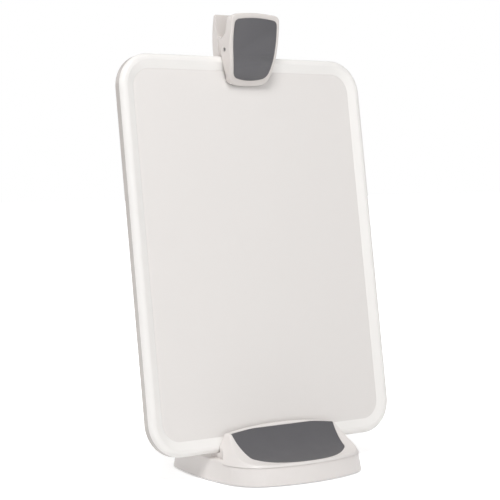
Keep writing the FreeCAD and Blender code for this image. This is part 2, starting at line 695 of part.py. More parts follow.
def rest_block(inset):
    """The back rest's outer form, drawn in by an inset all round but its foot."""
    foot = d.deck_top - (MILLIMETRE if inset else 0)
    front = slot_rear() - d.rest_gap - inset
    heel = rest_foot_front() + inset
    step_up = d.slot_rear_top + d.rest_gap + inset
    top_up = d.rest_height - inset
    top_y, top_z = board_point(top_up, front)
    step_y = depth_at(front, step_up)
    heel_y = depth_at(slot_rear() - d.slot_rear_wall - d.rest_gap - inset, step_up)
    rear = rest_foot_front() + d.rest_depth - inset
    back_y = top_y + d.rest_top_depth - 2 * inset
    middle = ((rear + back_y) / 2 - d.rest_depth / 6, (foot + top_z) / 2)
    edges = [line((0, heel, foot), (0, rear, foot)), arc((0, rear, foot), (0, *middle), (0, back_y, top_z)),
             line((0, back_y, top_z), (0, top_y, top_z)), line((0, top_y, top_z), (0, step_y, step_up)),
             line((0, step_y, step_up), (0, heel_y, step_up)), line((0, heel_y, step_up), (0, heel, foot))]
    half = d.rest_half - inset
    side = Part.Face(Part.Wire(edges)).extrude(Vector(2 * half, 0, 0))
    side.translate(Vector(-half, 0, 0))
    narrow = d.rest_top_half - inset
    front_view = [Vector(-half, -FAR, foot), Vector(half, -FAR, foot), Vector(narrow, -FAR, top_z),
                  Vector(-narrow, -FAR, top_z)]
    prism = Part.Face(outline_wire(front_view)).extrude(Vector(0, 2 * FAR, 0))
    return side.common(prism)


def rest_bosses():
    """The two screw bosses inside the back rest."""
    posts = [post(x, y, d.deck_top, d.deck_top + 3 * d.boss_radius, d.boss_radius) for x, y in rest_screw_places()]
    webs = [Part.makeBox(d.rest_wall, d.rest_depth / 2, 2 * d.boss_radius,
                         Vector(x - d.rest_wall / 2, y, d.deck_top)) for x, y in rest_screw_places()]
    return posts[0].fuse([posts[1]] + webs).common(rest_block(0.0))


def rest_pilots():
    """Pilot holes of the back rest's bosses."""
    pilots = [post(x, y, d.deck_top - MILLIMETRE, d.deck_top + 2.5 * d.boss_radius, d.screw_shank + d.screw_gap / 2)
              for x, y in rest_screw_places()]
    return pilots[0].fuse(pilots[1])


def build_base():
    """Makes the pieces of the base."""
    feature_piece("base_shell", base_shell())
    feature_piece("base_soft_pad", soft_pad())
    feature_piece("base_bottom_plate", bottom_plate())
    steel_weight()
    length = d.plate_thick + d.weight_thick / 2
    heads = [screw(x, y, d.desk_gap, length) for x, y in weight_screw_places()]
    feature_piece("base_weight_screws", Part.makeCompound(heads))
    length = ceiling() - d.desk_gap - 3 * MILLIMETRE
    heads = [screw(x, y, d.desk_gap, length) for x, y in plate_screw_places()]
    feature_piece("base_plate_screws", Part.makeCompound(heads))
    for name, (x, y) in foot_places().items():
        rubber_foot(name, x, y)
    feature_piece("back_rest", back_rest())
    under = ceiling() - d.head_thick
    length = d.head_thick + d.base_wall + 2 * d.boss_radius
    heads = [screw(x, y, under, length) for x, y in rest_screw_places()]
    feature_piece("back_rest_screws", Part.makeCompound(heads))


def board_tray():
    """The front moulding of the board: raised rim, sloped inside, and flat panel."""
    body = new_body("board_tray")
    middle = "Dims.board_height / 2"
    outer = rounded_sketch(body, "tray_outline", "-Dims.board_back", middle, "Dims.board_width",
                           "Dims.board_height", "Dims.board_corner")
    block = pad(body, outer, "tray_block", "Dims.board_back + Dims.rim_crest")
    top = d.rim_crest - 1e-3
    edge = body.newObject("PartDesign::Fillet", "tray_rim_round")
    edge.Base = (block, edges_where(block, lambda box: box.ZMin > top))
    edge.setExpression("Radius", "Dims.rim_round")
    doc.recompute()
    face = rounded_sketch(body, "tray_face", "Dims.rim_crest", middle, "Dims.board_width - 2 * Dims.rim_width",
                          "Dims.board_height - 2 * Dims.rim_width", "Dims.board_corner - Dims.rim_width")
    recess = pocket(body, face, "tray_recess", "Dims.rim_crest")
    inner = d.board_width / 2 - d.rim_width + 1e-3
    slope = body.newObject("PartDesign::Chamfer", "tray_slope")
    slope.Base = (recess, edges_where(recess, lambda box: box.ZMin > top and max(box.XMax, -box.XMin) < inner))
    slope.ChamferType = "Two distances"
    slope.setExpression("Size", "Dims.slope_run")
    slope.setExpression("Size2", "Dims.slope_fall")
    doc.recompute()
    back = rounded_sketch(body, "tray_back", "-Dims.board_back", middle, "Dims.board_width - 2 * Dims.tray_wall",
                          "Dims.board_height - 2 * Dims.tray_wall", "Dims.board_corner - Dims.tray_wall")
    pocket(body, back, "tray_hollow", "Dims.board_back - Dims.panel_thick", reverse=True)
    boss_length = "Dims.board_back - Dims.panel_thick - Dims.cover_thick"
    level = "-Dims.board_back + Dims.cover_thick"
    bosses = circles_sketch(body, "tray_boss_plan", level, board_centres(), "Dims.boss_radius")
    pad(body, bosses, "tray_bosses", boss_length)
    pilots = circles_sketch(body, "tray_pilot_plan", level, board_centres(),
                            "Dims.screw_shank + Dims.screw_gap / 2")
    pocket(body, pilots, "tray_pilots", boss_length, reverse=True)
    place_on_board(body)
    return body


def board_centres():
    """Centres of the screws in the board, cover and lever foot, as signed expressions."""
    side = "Dims.board_width / 2 - Dims.cover_screw_inset"
    rows = ["Dims.cover_screw_inset + Dims.deck_top", "Dims.board_height / 2",
            "Dims.board_height - Dims.cover_screw_inset"]
    centres = [(sign, side, 1, row) for sign in (-1, 1) for row in rows]
    return centres + lever_centres()


def lever_centres():
    """Centres of the two screws of the lever's foot."""
    up = "Dims.lever_foot_low + Dims.lever_foot_half"
    return [(sign, "Dims.lever_foot_half / 2", 1, up) for sign in (-1, 1)]


def board_cover():
    """The flat back cover inside the tray's wall."""
    body = new_body("board_back_cover")
    inset = "2 * (Dims.tray_wall + Dims.cover_gap)"
    outline = rounded_sketch(body, "cover_outline", "-Dims.board_back", "Dims.board_height / 2",
                             "Dims.board_width - " + inset, "Dims.board_height - " + inset,
                             "Dims.board_corner - Dims.tray_wall - Dims.cover_gap")
    pad(body, outline, "cover_sheet", "Dims.cover_thick")
    holes = circles_sketch(body, "cover_hole_plan", "-Dims.board_back", board_centres(),
                           "Dims.screw_shank + Dims.screw_gap")
    pocket(body, holes, "cover_holes", "Dims.cover_thick", reverse=True)
    sinks = circles_sketch(body, "cover_sink_plan", "-Dims.board_back", board_centres()[:-2],
                           "Dims.screw_head + Dims.screw_gap")
    pocket(body, sinks, "cover_sinks", "Dims.head_thick", reverse=True)
    place_on_board(body)
    return body


def build_board():
    """Makes the pieces of the board."""
    board_tray()
    board_cover()
    length = d.board_back - d.panel_thick - 0.5 * MILLIMETRE
    heads = []
    for x_sign, x_text, y_sign, y_text in board_centres()[:-2]:
        heads.append(screw(x_sign * measure(x_text), y_sign * measure(y_text), -d.board_back, length))
    feature_piece("board_cover_screws", Part.makeCompound(heads), True)


def lever_profile():
    """Side view of the rear lever with its foot, in the board's frame."""
    top, low = d.lever_top, d.board_height
    back = d.lever_front - d.lever_thick
    foot_back = -d.board_back - d.lever_foot_thick
    crown = d.lever_front - 0.45 * d.lever_thick
    high = (top + low) / 2
    return [line((0, low, d.lever_front), (0, top - 0.8, d.lever_front - 0.8)),
            arc((0, top - 0.8, d.lever_front - 0.8), (0, top, (d.lever_front + crown) / 2 - 0.8),
                (0, top - 1.2, crown)),
            arc((0, top - 1.2, crown), (0, high, back), (0, low - 8, foot_back - 0.6)),
            line((0, low - 8, foot_back - 0.6), (0, d.lever_foot_low + 2, foot_back)),
            arc((0, d.lever_foot_low + 2, foot_back), (0, d.lever_foot_low + 0.5, foot_back + 0.8),
                (0, d.lever_foot_low, foot_back + 2)),
            line((0, d.lever_foot_low, foot_back + 2), (0, d.lever_foot_low, -d.board_back)),
            line((0, d.lever_foot_low, -d.board_back), (0, low, -d.board_back)),
            line((0, low, -d.board_back), (0, low, d.lever_front))]


def across(edges, half, mid=0.0):
    """Extrudes a closed side view across X."""
    solid = Part.Face(Part.Wire(edges)).extrude(Vector(2 * half, 0, 0))
    solid.translate(Vector(mid - half, 0, 0))
    return solid


def bar_along(x0, x1, up, out, radius):
    """A round bar across the board."""
    return Part.makeCylinder(radius, x1 - x0, Vector(x0, up, out), Vector(1, 0, 0))


def lug(mid):
    """One hinge lug, from the lever's face round the pin."""
    low, r = d.board_height, d.lug_radius
    seat, high = low + d.lug_seat, d.pivot_up + d.lug_top
    slant = math.radians(d.lug_slant)
    leaving = Vector(0, d.pivot_up + r * math.cos(slant), d.pivot_out + r * math.sin(slant))
    plate = [Vector(0, seat, d.lever_front - 1), Vector(0, seat, d.pivot_out),
             Vector(0, d.pivot_up, d.pivot_out + r), leaving, Vector(0, high, d.lever_front - 1)]
    solid = Part.Face(outline_wire(plate)).extrude(Vector(d.lug_thick, 0, 0))
    solid.translate(Vector(mid - d.lug_thick / 2, 0, 0))
    ring = bar_along(mid - d.lug_thick / 2, mid + d.lug_thick / 2, d.pivot_up, d.pivot_out, r)
    above = Part.makeBox(FAR, FAR, FAR, Vector(-FAR / 2, seat, -FAR / 2))
    return solid.fuse(ring).common(above)


def lug_middle():
    """Middle of a hinge lug from the middle of the clip."""
    return d.jaw_half - d.jaw_wall - d.lug_gap - d.lug_thick / 2


def spring_ends():
    """X of the spring's two legs: the jaw's and the lever's."""
    half = SPRING_HALF_TURNS * d.spring_pitch / 4
    return -half, half


def clip_bracket():
    """The fixed rear lever with its foot, hinge lugs and spring seat."""
    solid = across(lever_profile(), d.lever_half)
    foot_cut = Part.makeBox(FAR, d.board_height - d.lever_foot_low - 3 * MILLIMETRE, FAR,
                            Vector(d.lever_foot_half, d.lever_foot_low - MILLIMETRE, -FAR / 2))
    solid = solid.cut(foot_cut).cut(foot_cut.mirror(Vector(0, 0, 0), Vector(1, 0, 0)))
    sides, foot = [], d.board_height - d.lever_shoulder
    for edge in solid.Edges:
        box = edge.BoundBox
        if box.XLength < TOUCH and box.YMin > foot and box.ZMin < d.lever_front - 2 * d.lever_round:
            if abs(abs(box.XMin) - d.lever_half) < TOUCH:
                sides.append(edge)
    solid = solid.makeFillet(d.lever_round, sides)
    for side in (-1, 1):
        solid = solid.fuse(lug(side * lug_middle()))
    for side in (-1, 1):
        mid = side * lug_middle()
        solid = solid.cut(bar_along(mid - d.lug_thick, mid + d.lug_thick, d.pivot_up, d.pivot_out,
                                    d.pin_radius + d.lug_fit))
    seat_x = spring_ends()[1]
    seat_face = d.pivot_out - d.spring_radius - d.spring_wire / 2 - d.spring_seat_gap
    seat_low = d.pivot_up + d.spring_leg / 2
    seat = Part.makeBox(3 * d.spring_wire, d.spring_leg, seat_face - d.lever_front + 1,
                        Vector(seat_x - 1.5 * d.spring_wire, seat_low, d.lever_front - 1))
    solid = solid.fuse(seat)
    for x_sign, x_text, y_sign, y_text in lever_centres():
        x, y = x_sign * measure(x_text), y_sign * measure(y_text)
        solid = solid.cut(post(x, y, -FAR, 0, d.screw_shank + d.screw_gap))
        solid = solid.cut(post(x, y, -FAR, -d.board_back - d.lever_foot_thick + d.head_thick,
                               d.screw_head + d.screw_gap))
    return solid


def shield(side_in, top_in, low_in, top_corner, low_corner):
    """Front view of the jaw or its pad as an upright prism out of the board, with round corners."""
    top, low = d.jaw_top - top_in, d.jaw_lip + low_in
    high_x, mid_x, low_x = d.jaw_top_half - side_in, d.jaw_half - side_in, d.jaw_low_half - side_in
    high_y, low_y = top - d.jaw_top_bow, low + d.jaw_low_bow
    mid_y = d.jaw_top - d.jaw_widest * (d.jaw_top - d.jaw_lip)
    right = [arc((high_x, high_y, 0), (mid_x, mid_y, 0), (low_x, low_y, 0))]
    left = [edge.mirror(Vector(0, 0, 0), Vector(1, 0, 0)) for edge in right]
    ends = [arc((-high_x, high_y, 0), (0, top, 0), (high_x, high_y, 0)),
            arc((-low_x, low_y, 0), (0, low, 0), (low_x, low_y, 0))]
    prism = Part.Face(Part.Wire(Part.sortEdges(ends + right + left)[0])).extrude(Vector(0, 0, CLIP_SPAN))
    prism.translate(Vector(0, 0, -CLIP_SPAN / 2))
    for corner, at in ((top_corner, high_y), (low_corner, low_y)):
        edges = [edge for edge in prism.Edges
                 if edge.BoundBox.ZLength > CLIP_SPAN / 2 and abs(edge.BoundBox.YMin - at) < 0.5]
        prism = prism.makeFillet(corner, edges)
    return prism


def jaw_face():
    """The jaw's face: its point at the pivot's height, its directions out and up, and where its bend starts."""
    tilt = math.radians(d.jaw_tilt)
    normal, upwards = Vector(0, -math.sin(tilt), math.cos(tilt)), Vector(0, math.cos(tilt), math.sin(tilt))
    base = Vector(0, d.pivot_up, d.pivot_out + d.jaw_face_out)
    return base, normal, upwards, base - upwards * (d.jaw_bend_start / math.cos(tilt))


def face_line(out):
    """The jaw's face in side view, moved out by a distance: a straight stretch, then a bend to the lip."""
    base, normal, upwards, bend = jaw_face()
    start = base + normal * out + upwards * (d.jaw_top + OVER - d.pivot_up)
    bend = bend + normal * out
    radius = d.jaw_bend + out
    centre = bend - normal * radius
    tilt, sweep = math.radians(d.jaw_tilt), math.radians(d.jaw_bend_sweep)
    stops = []
    for angle in (sweep / 2, sweep):
        turned = Vector(0, -math.sin(tilt + angle), math.cos(tilt + angle))
        stops.append(centre + turned * radius)
    return [Part.makeLine(start, bend), Part.Arc(bend, stops[0], stops[1]).toShape()], start, stops[1]


def behind_face(out):
    """All that lies behind the jaw's face, moved out by a distance."""
    edges, start, end = face_line(out)
    deep = -CLIP_SPAN / 4
    corner_low, corner_high = Vector(0, end.y, deep), Vector(0, start.y, deep)
    edges += [Part.makeLine(end, corner_low), Part.makeLine(corner_low, corner_high),
              Part.makeLine(corner_high, start)]
    return across(Part.sortEdges(edges)[0], CLIP_SPAN / 2)


def jaw_back():
    """What is cut from behind the jaw: everything behind its sides and ears."""
    rise = math.tan(math.radians(d.jaw_tilt))
    base = d.pivot_out + d.jaw_face_out - d.jaw_return - d.jaw_wall
    high, knee = d.jaw_top + OVER, d.pivot_up + d.jaw_knee
    ear_top, ear_low = d.pivot_up + d.jaw_ear_top, d.board_height - d.jaw_ear_low
    tip = d.jaw_lip + d.grip_height + d.grip_cover
    seat = d.grip_gap + d.grip_thick - d.grip_hold
    side_view = [(high, base + rise * (high - d.pivot_up)), (knee, base + rise * (knee - d.pivot_up)),
                 (ear_top, d.jaw_ear_back + MILLIMETRE), (ear_top - d.jaw_ear_slant, d.jaw_ear_back),
                 (ear_low, d.jaw_ear_back), (tip + d.grip_cover, d.jaw_ear_back + d.grip_gap), (tip, seat),
                 (d.jaw_lip - OVER, seat), (d.jaw_lip - OVER, -CLIP_SPAN / 2), (high, -CLIP_SPAN / 2)]
    points = [Vector(-CLIP_SPAN / 2, up, out) for up, out in side_view]
    return Part.Face(outline_wire(points)).extrude(Vector(CLIP_SPAN, 0, 0))


def clip_jaw():
    """The jaw: a hollow shell with a recess for its pad, ears round the pin and a groove for the grip."""
    solid = shield(0, 0, 0, d.jaw_top_corner, d.jaw_low_corner).common(behind_face(0)).cut(jaw_back())
    front = [edge for edge in solid.Edges if on_face(edge)]
    solid = solid.makeFillet(d.jaw_round, front)
    core = shield(d.jaw_wall, d.jaw_wall, 2 * d.jaw_wall + d.grip_height - MILLIMETRE,
                  d.jaw_top_corner - d.jaw_wall, d.jaw_low_corner - d.jaw_wall)
    core = core.common(behind_face(d.jaw_pad_proud - d.jaw_pad_sunk - d.jaw_wall))
    solid = solid.cut(core)
    recess = shield(d.jaw_pad_side, d.jaw_pad_top, d.jaw_pad_low, d.jaw_pad_top_corner, d.jaw_pad_low_corner)
    solid = solid.cut(recess.cut(behind_face(-d.jaw_pad_sunk)))
    solid = solid.cut(bar_along(-CLIP_SPAN / 2, CLIP_SPAN / 2, d.pivot_up, d.pivot_out,
                                d.pin_radius + d.pin_fit))
    solid = solid.cut(grip_block(0.0))
    return solid.fuse(jaw_spring_seat())


def on_face(edge):
    """Tells whether an edge lies on the jaw's front face."""
    base, normal, upwards, bend = jaw_face()
    centre = bend - normal * d.jaw_bend
    for share in (0.1, 0.5, 0.9):
        point = edge.valueAt(edge.FirstParameter + share * (edge.LastParameter - edge.FirstParameter))
        if (point - centre).dot(upwards) >= 0:
            miss = abs((point - base).dot(normal))
        else:
            flat = Vector(0, point.y - centre.y, point.z - centre.z)
            miss = abs(flat.Length - d.jaw_bend)
        if miss > TOUCH:
            return False
    return True


def jaw_spring_seat():
    """The rib inside the jaw that the spring's leg presses on."""
    seat_face = d.pivot_out + d.spring_radius + d.spring_wire / 2 + d.spring_seat_gap
    x = spring_ends()[0]
    block = Part.makeBox(3 * d.spring_wire, d.spring_leg, 12,
                         Vector(x - 1.5 * d.spring_wire, d.pivot_up + d.spring_leg / 2, seat_face))
    return block.common(behind_face(-d.jaw_pad_sunk - d.spring_seat_gap))


def grip_block(gap):
    """The grip strip at the jaw's lip."""
    low = d.jaw_lip + d.grip_low
    return Part.makeBox(2 * (d.grip_half - gap), d.grip_height - gap, d.grip_thick,
                        Vector(-d.grip_half + gap, low + gap / 2, d.grip_gap))


def jaw_pad():
    """The soft pad on the jaw's face."""
    gap = d.screw_gap / 2
    prism = shield(d.jaw_pad_side + gap, d.jaw_pad_top + gap, d.jaw_pad_low + gap,
                   d.jaw_pad_top_corner, d.jaw_pad_low_corner)
    return prism.common(behind_face(d.jaw_pad_proud)).cut(behind_face(-d.jaw_pad_sunk))


def spring():
    """The torsion spring: one wire, round the pin in half turns, with a straight leg at each end."""
    r, step = d.spring_radius, d.spring_pitch / 2
    first, last = spring_ends()
    x, side, edges = first, 1, []
    top = Vector(first, d.pivot_up + d.spring_leg, d.pivot_out + r)
    path = [top]
    edges.append(Part.makeLine(top, Vector(first, d.pivot_up, d.pivot_out + r)))
    for turn in range(SPRING_HALF_TURNS):
        start = Vector(x, d.pivot_up, d.pivot_out + side * r)
        end = Vector(x + step, d.pivot_up, d.pivot_out - side * r)
        bulge = Vector(0, -side * (end - start).Length / 2, 0)
        edges.append(Part.Arc(start, (start + end) * 0.5 + bulge, end).toShape())
        x, side = x + step, -side
    low = Vector(last, d.pivot_up, d.pivot_out + side * r)
    edges.append(Part.makeLine(low, low + Vector(0, d.spring_leg, 0)))
    wire = Part.Wire(edges)
    section = Part.Wire([Part.makeCircle(d.spring_wire / 2, top, Vector(0, -1, 0))])
    solid = wire.makePipeShell([section], True, False)
    print("spring volume %.3f, section times length %.3f, least gap to itself %.2f mm"
          % (solid.Volume, math.pi * (d.spring_wire / 2) ** 2 * wire.Length, least_gap(wire)))
    return solid


def least_gap(wire):
    """The least gap of the spring's wire to itself, measured on points along it."""
    points = wire.discretize(Distance=0.5)
    apart = int(2.5 * d.spring_radius / 0.5)
    gaps = []
    for index, point in enumerate(points):
        for other in points[index + apart:]:
            gaps.append(point.distanceToPoint(other))
    return min(gaps) - d.spring_wire


def build_clip():
    """Makes the pieces of the clip."""
    feature_piece("clip_bracket", clip_bracket(), True)
    back = -d.board_back - d.lever_foot_thick
    length = d.lever_foot_thick + d.board_back - d.panel_thick - 0.5 * MILLIMETRE
    heads = []
    for x_sign, x_text, y_sign, y_text in lever_centres():
        heads.append(screw(x_sign * measure(x_text), y_sign * measure(y_text), back, length))
    feature_piece("clip_bracket_screws", Part.makeCompound(heads), True)
    feature_piece("clip_jaw", clip_jaw(), True)
    feature_piece("clip_jaw_pad", jaw_pad(), True)
    feature_piece("clip_grip_strip", grip_block(0.05), True)
    half = d.jaw_half - d.pin_recess
    pin = bar_along(-half, half, d.pivot_up, d.pivot_out, d.pin_radius)
    feature_piece("clip_hinge_pin", pin.makeChamfer(0.3, pin.Edges[:1] + pin.Edges[2:3]), True)
    feature_piece("clip_spring", spring(), True)


def write_pieces():
    """Checks every object, then writes each piece to its own file."""
    doc.recompute()
    for obj in doc.Objects:
        if "Invalid" in obj.State or "Error" in obj.State:
            raise ValueError("%s failed: %s" % (obj.Name, obj.State))
    pieces = [obj for obj in doc.Objects if obj.TypeId in ("PartDesign::Body", "Part::Feature")]
    for piece in pieces:
        if piece.Shape.isNull() or not piece.Shape.isValid() or not piece.Shape.Solids:
            raise ValueError("%s has no valid solid" % piece.Label)
    for piece in pieces:
        piece.Shape.exportStep("parts/%s.step" % piece.Label)
        box = piece.Shape.BoundBox
        print("%-22s %d solid(s) %9.0f mm3  x %.1f %.1f  y %.1f %.1f  z %.1f %.1f" % (
            piece.Label, len(piece.Shape.Solids), piece.Shape.Volume, box.XMin, box.XMax, box.YMin, box.YMax,
            box.ZMin, box.ZMax))


build_base()
build_board()
build_clip()
write_pieces()
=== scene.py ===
import logging
import math
from collections.abc import Callable
from dataclasses import dataclass
from enum import Enum

import bpy
from mathutils import Matrix, Vector


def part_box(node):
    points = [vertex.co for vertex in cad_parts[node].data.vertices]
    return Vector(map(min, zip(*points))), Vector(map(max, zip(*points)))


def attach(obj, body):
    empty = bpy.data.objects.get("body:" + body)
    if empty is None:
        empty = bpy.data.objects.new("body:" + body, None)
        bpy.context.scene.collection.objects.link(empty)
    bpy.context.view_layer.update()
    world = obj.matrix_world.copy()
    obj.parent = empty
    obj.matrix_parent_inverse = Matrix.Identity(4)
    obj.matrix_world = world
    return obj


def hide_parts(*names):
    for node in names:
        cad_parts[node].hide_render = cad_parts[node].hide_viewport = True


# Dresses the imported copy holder: a weighted base with a padded scoop, a leaning board and a sprung clip.
# Metres, +Z up, -Y towards the reader. Lengths with MM are given in millimetres.

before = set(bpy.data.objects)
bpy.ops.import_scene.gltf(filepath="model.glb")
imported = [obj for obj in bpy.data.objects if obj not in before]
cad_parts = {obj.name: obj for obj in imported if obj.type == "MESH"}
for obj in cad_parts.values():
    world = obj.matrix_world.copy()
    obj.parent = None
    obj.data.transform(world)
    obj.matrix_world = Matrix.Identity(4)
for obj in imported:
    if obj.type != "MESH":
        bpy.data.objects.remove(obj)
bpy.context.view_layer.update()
LOG = logging.getLogger("copy_holder")
MM = 0.001
HAIR = 0.0001 * MM
# Degrees, then a length that counts as touching, the share of a normal that counts as facing, and a long reach.
SHARP = 50.0
BLUNT = 40.0
NEAR = 0.01 * MM
FACING = 0.9
SPAN = 60 * MM
# Longest steps along an outline's sides and round its corners.
SIDE_PITCH = 1.0 * MM
CORNER_PITCH = 0.4 * MM
Socket = bpy.types.NodeSocket


def linear(hex_colour: str) -> tuple:
    """Turns an sRGB hex colour into linear values.

    Args:
        hex_colour: six hex digits.

    Returns:
        Red, green, blue and full alpha.
    """
    channels = [int(hex_colour[i:i + 2], 16) / 255 for i in (0, 2, 4)]
    return tuple(c / 12.92 if c <= 0.04045 else ((c + 0.055) / 1.055) ** 2.4 for c in channels) + (1.0,)


def add_node(tree: bpy.types.NodeTree, kind: str, settings: dict = None,
             inputs: dict = None) -> bpy.types.Node:
    """Adds a node with its settings, its values and its links.

    Args:
        tree: the material's node tree.
        kind: Blender's name of the node.
        settings: properties of the node.
        inputs: a value or an output socket for each named or numbered input.

    Returns:
        The node.
    """
    node = tree.nodes.new(kind)
    for name, value in (settings or {}).items():
        setattr(node, name, value)
    for name, value in (inputs or {}).items():
        if isinstance(value, bpy.types.NodeSocket):
            tree.links.new(value, node.inputs[name])
        else:
            node.inputs[name].default_value = value
    return node


class MouldFace(Enum):
    """Face of the steel mould that a plastic copies: roughness, grain width in mm, grain depth in mm."""

    SATIN = (0.36, 0.55, 0.012)
    SPARKED = (0.50, 0.75, 0.045)


class Screwed(Enum):
    """Which way a screw is driven: up into the base, or forward through the board's back."""

    UP = "up"
    FORWARD = "forward"


@dataclass(frozen=True)
class Finish:
    """What every finish starts from: a named node material with its shader and its object coordinates."""

    name: str
    colour: str
    shade: str

    def start(self) -> tuple:
        """Starts the material.

        Returns:
            The material, its node tree, its shader and the socket of its object coordinates.
        """
        made = bpy.data.materials.new(self.name)
        made.use_nodes = True
        made.diffuse_color = linear(self.colour)
        tree = made.node_tree
        place = add_node(tree, "ShaderNodeTexCoord").outputs["Object"]
        return made, tree, tree.nodes["Principled BSDF"], place

    def mottled(self, tree: bpy.types.NodeTree, place: Socket, width_mm: float) -> Socket:
        """Mixes the two colours in soft patches.

        Args:
            tree: the material's node tree.
            place: the object coordinates.
            width_mm: width of a patch.

        Returns:
            The colour socket.
        """
        patch = add_node(tree, "ShaderNodeTexNoise", {},
                         {"Vector": place, "Scale": 1 / (width_mm * MM), "Detail": 3.0})
        mix = add_node(tree, "ShaderNodeMix", {"data_type": "RGBA"},
                       {"Factor": patch.outputs["Fac"], 6: linear(self.colour), 7: linear(self.shade)})
        return mix.outputs[2]

    def worn(self, tree: bpy.types.NodeTree, rounding_mm: float) -> tuple:
        """Finds the edges that hands rub, and softens them.

        Args:
            tree: the material's node tree.
            rounding_mm: radius of the softened edge.

        Returns:
            The softened normal, and a value that rises from 0 on faces to 1 on edges.
        """
        soft = add_node(tree, "ShaderNodeBevel", {"samples": 6}, {"Radius": rounding_mm * MM})
        face = add_node(tree, "ShaderNodeNewGeometry")
        same = add_node(tree, "ShaderNodeVectorMath", {"operation": "DOT_PRODUCT"},
                        {0: soft.outputs["Normal"], 1: face.outputs["Normal"]})
        edge = add_node(tree, "ShaderNodeMapRange", {},
                        {"Value": same.outputs["Value"], "From Min": 0.99, "From Max": 0.80,
                         "To Min": 0.0, "To Max": 1.0})
        return soft.outputs["Normal"], edge.outputs["Result"]

    def grain(self, tree: bpy.types.NodeTree, place: Socket, width_mm: float, depth_mm: float,
              normal: Socket = None) -> Socket:
        """Raises a fine irregular grain.

        Args:
            tree: the material's node tree.
            place: the coordinates.
            width_mm: width of a grain.
            depth_mm: height of a grain.
            normal: the normal that the grain stands on.

        Returns:
            The normal socket.
        """
        bumps = add_node(tree, "ShaderNodeTexNoise", {},
                         {"Vector": place, "Scale": 1 / (width_mm * MM), "Detail": 2.0})
        inputs = {"Height": bumps.outputs["Fac"], "Distance": depth_mm * MM, "Strength": 1.0}
        if normal:
            inputs["Normal"] = normal
        return add_node(tree, "ShaderNodeBump", {}, inputs).outputs["Normal"]


@dataclass(frozen=True)
class MouldedAbs(Finish):
    """White ABS, injection moulded: satin, with broad soft highlights, a faint mottle, rubbed edges and painted
    shade in its creases.
    """

    face: MouldFace = MouldFace.SATIN
    # Colour that creases are darkened towards as painted shade, and how far the occlusion that finds them
    # reaches.
    crease_shade: str = "B9B1AB"
    crease_mm: float = 1.6
    edge_mm: float = 0.5
    mottle_mm: float = 55.0
    handled_mm: float = 18.0

    def material(self) -> bpy.types.Material:
        """Builds the material.

        Returns:
            The node material.
        """
        made, tree, shader, place = self.start()
        roughness, width, depth = self.face.value
        colour = self.mottled(tree, place, self.mottle_mm)
        # Painted shade: where ambient occlusion finds a crease or a narrow gap, the colour is darkened towards
        # a grey-brown.
        crease = add_node(tree, "ShaderNodeAmbientOcclusion", {"samples": 6},
                          {"Distance": self.crease_mm * MM})
        shade_share = add_node(tree, "ShaderNodeMapRange", {},
                        {"Value": crease.outputs["AO"], "From Min": 0.0, "From Max": 0.75,
                         "To Min": 0.45, "To Max": 0.0})
        crease_shaded = add_node(tree, "ShaderNodeMix", {"data_type": "RGBA"},
                         {"Factor": shade_share.outputs["Result"], 6: colour, 7: linear(self.crease_shade)})
        tree.links.new(crease_shaded.outputs[2], shader.inputs["Base Color"])
        normal, edge = self.worn(tree, self.edge_mm)
        handled = add_node(tree, "ShaderNodeTexNoise", {},
                           {"Vector": place, "Scale": 1 / (self.handled_mm * MM), "Detail": 4.0})
        uneven = add_node(tree, "ShaderNodeMapRange", {},
                          {"Value": handled.outputs["Fac"],
                           "To Min": roughness - 0.05, "To Max": roughness + 0.05})
        rubbed = add_node(tree, "ShaderNodeMath", {"operation": "MULTIPLY_ADD"},
                          {0: edge, 1: -0.12, 2: uneven.outputs["Result"]})
        tree.links.new(rubbed.outputs[0], shader.inputs["Roughness"])
        tree.links.new(self.grain(tree, place, width, depth, normal), shader.inputs["Normal"])
        shader.inputs["IOR"].default_value = 1.53
        return made


@dataclass(frozen=True)
class TwoFacedAbs(MouldedAbs):
    """White ABS tray: a matt, greyer panel, a bright satin rim and a skirt behind its parting line painted
    darker as shade.
    """

    panel: str = "ECE8E5"
    # Colour painted on the skirt as shade, darker than the rim.
    shaded_skirt: str = "C8C2BE"
    parting_mm: float = -1.2
    panel_mm: float = 0.12
    origin: tuple = (0.0, 0.0, 0.0)
    normal: tuple = (0.0, -1.0, 0.0)

    def material(self) -> bpy.types.Material:
        """Builds the material.

        Returns:
            The node material.
        """
        made = super().material()
        tree = made.node_tree
        shader = tree.nodes["Principled BSDF"]
        place = add_node(tree, "ShaderNodeTexCoord").outputs["Object"]
        out = add_node(tree, "ShaderNodeVectorMath", {"operation": "DOT_PRODUCT"}, {0: place, 1: self.normal})
        level = Vector(self.origin).dot(Vector(self.normal))
        flat = add_node(tree, "ShaderNodeMath", {"operation": "COMPARE"},
                        {0: out.outputs["Value"], 1: level, 2: self.panel_mm * MM})
        rim = shader.inputs["Base Color"].links[0].from_socket
        # Painted shade: everything more than the parting depth behind the panel's level, the tray's outer side
        # wall, takes a darker grey than the rim.
        behind = add_node(tree, "ShaderNodeMath", {"operation": "LESS_THAN"},
                          {0: out.outputs["Value"], 1: level + self.parting_mm * MM})
        side = add_node(tree, "ShaderNodeMix", {"data_type": "RGBA"},
                        {"Factor": behind.outputs[0], 6: rim, 7: linear(self.shaded_skirt)})
        tone = add_node(tree, "ShaderNodeMix", {"data_type": "RGBA"},
                        {"Factor": flat.outputs[0], 6: side.outputs[2], 7: linear(self.panel)})
        tree.links.new(tone.outputs[2], shader.inputs["Base Color"])
        satin = shader.inputs["Roughness"].links[0].from_socket
        matt = add_node(tree, "ShaderNodeMath", {"operation": "MULTIPLY_ADD"},
                        {0: flat.outputs[0], 1: 0.16, 2: satin})
        tree.links.new(matt.outputs[0], shader.inputs["Roughness"])
        return made


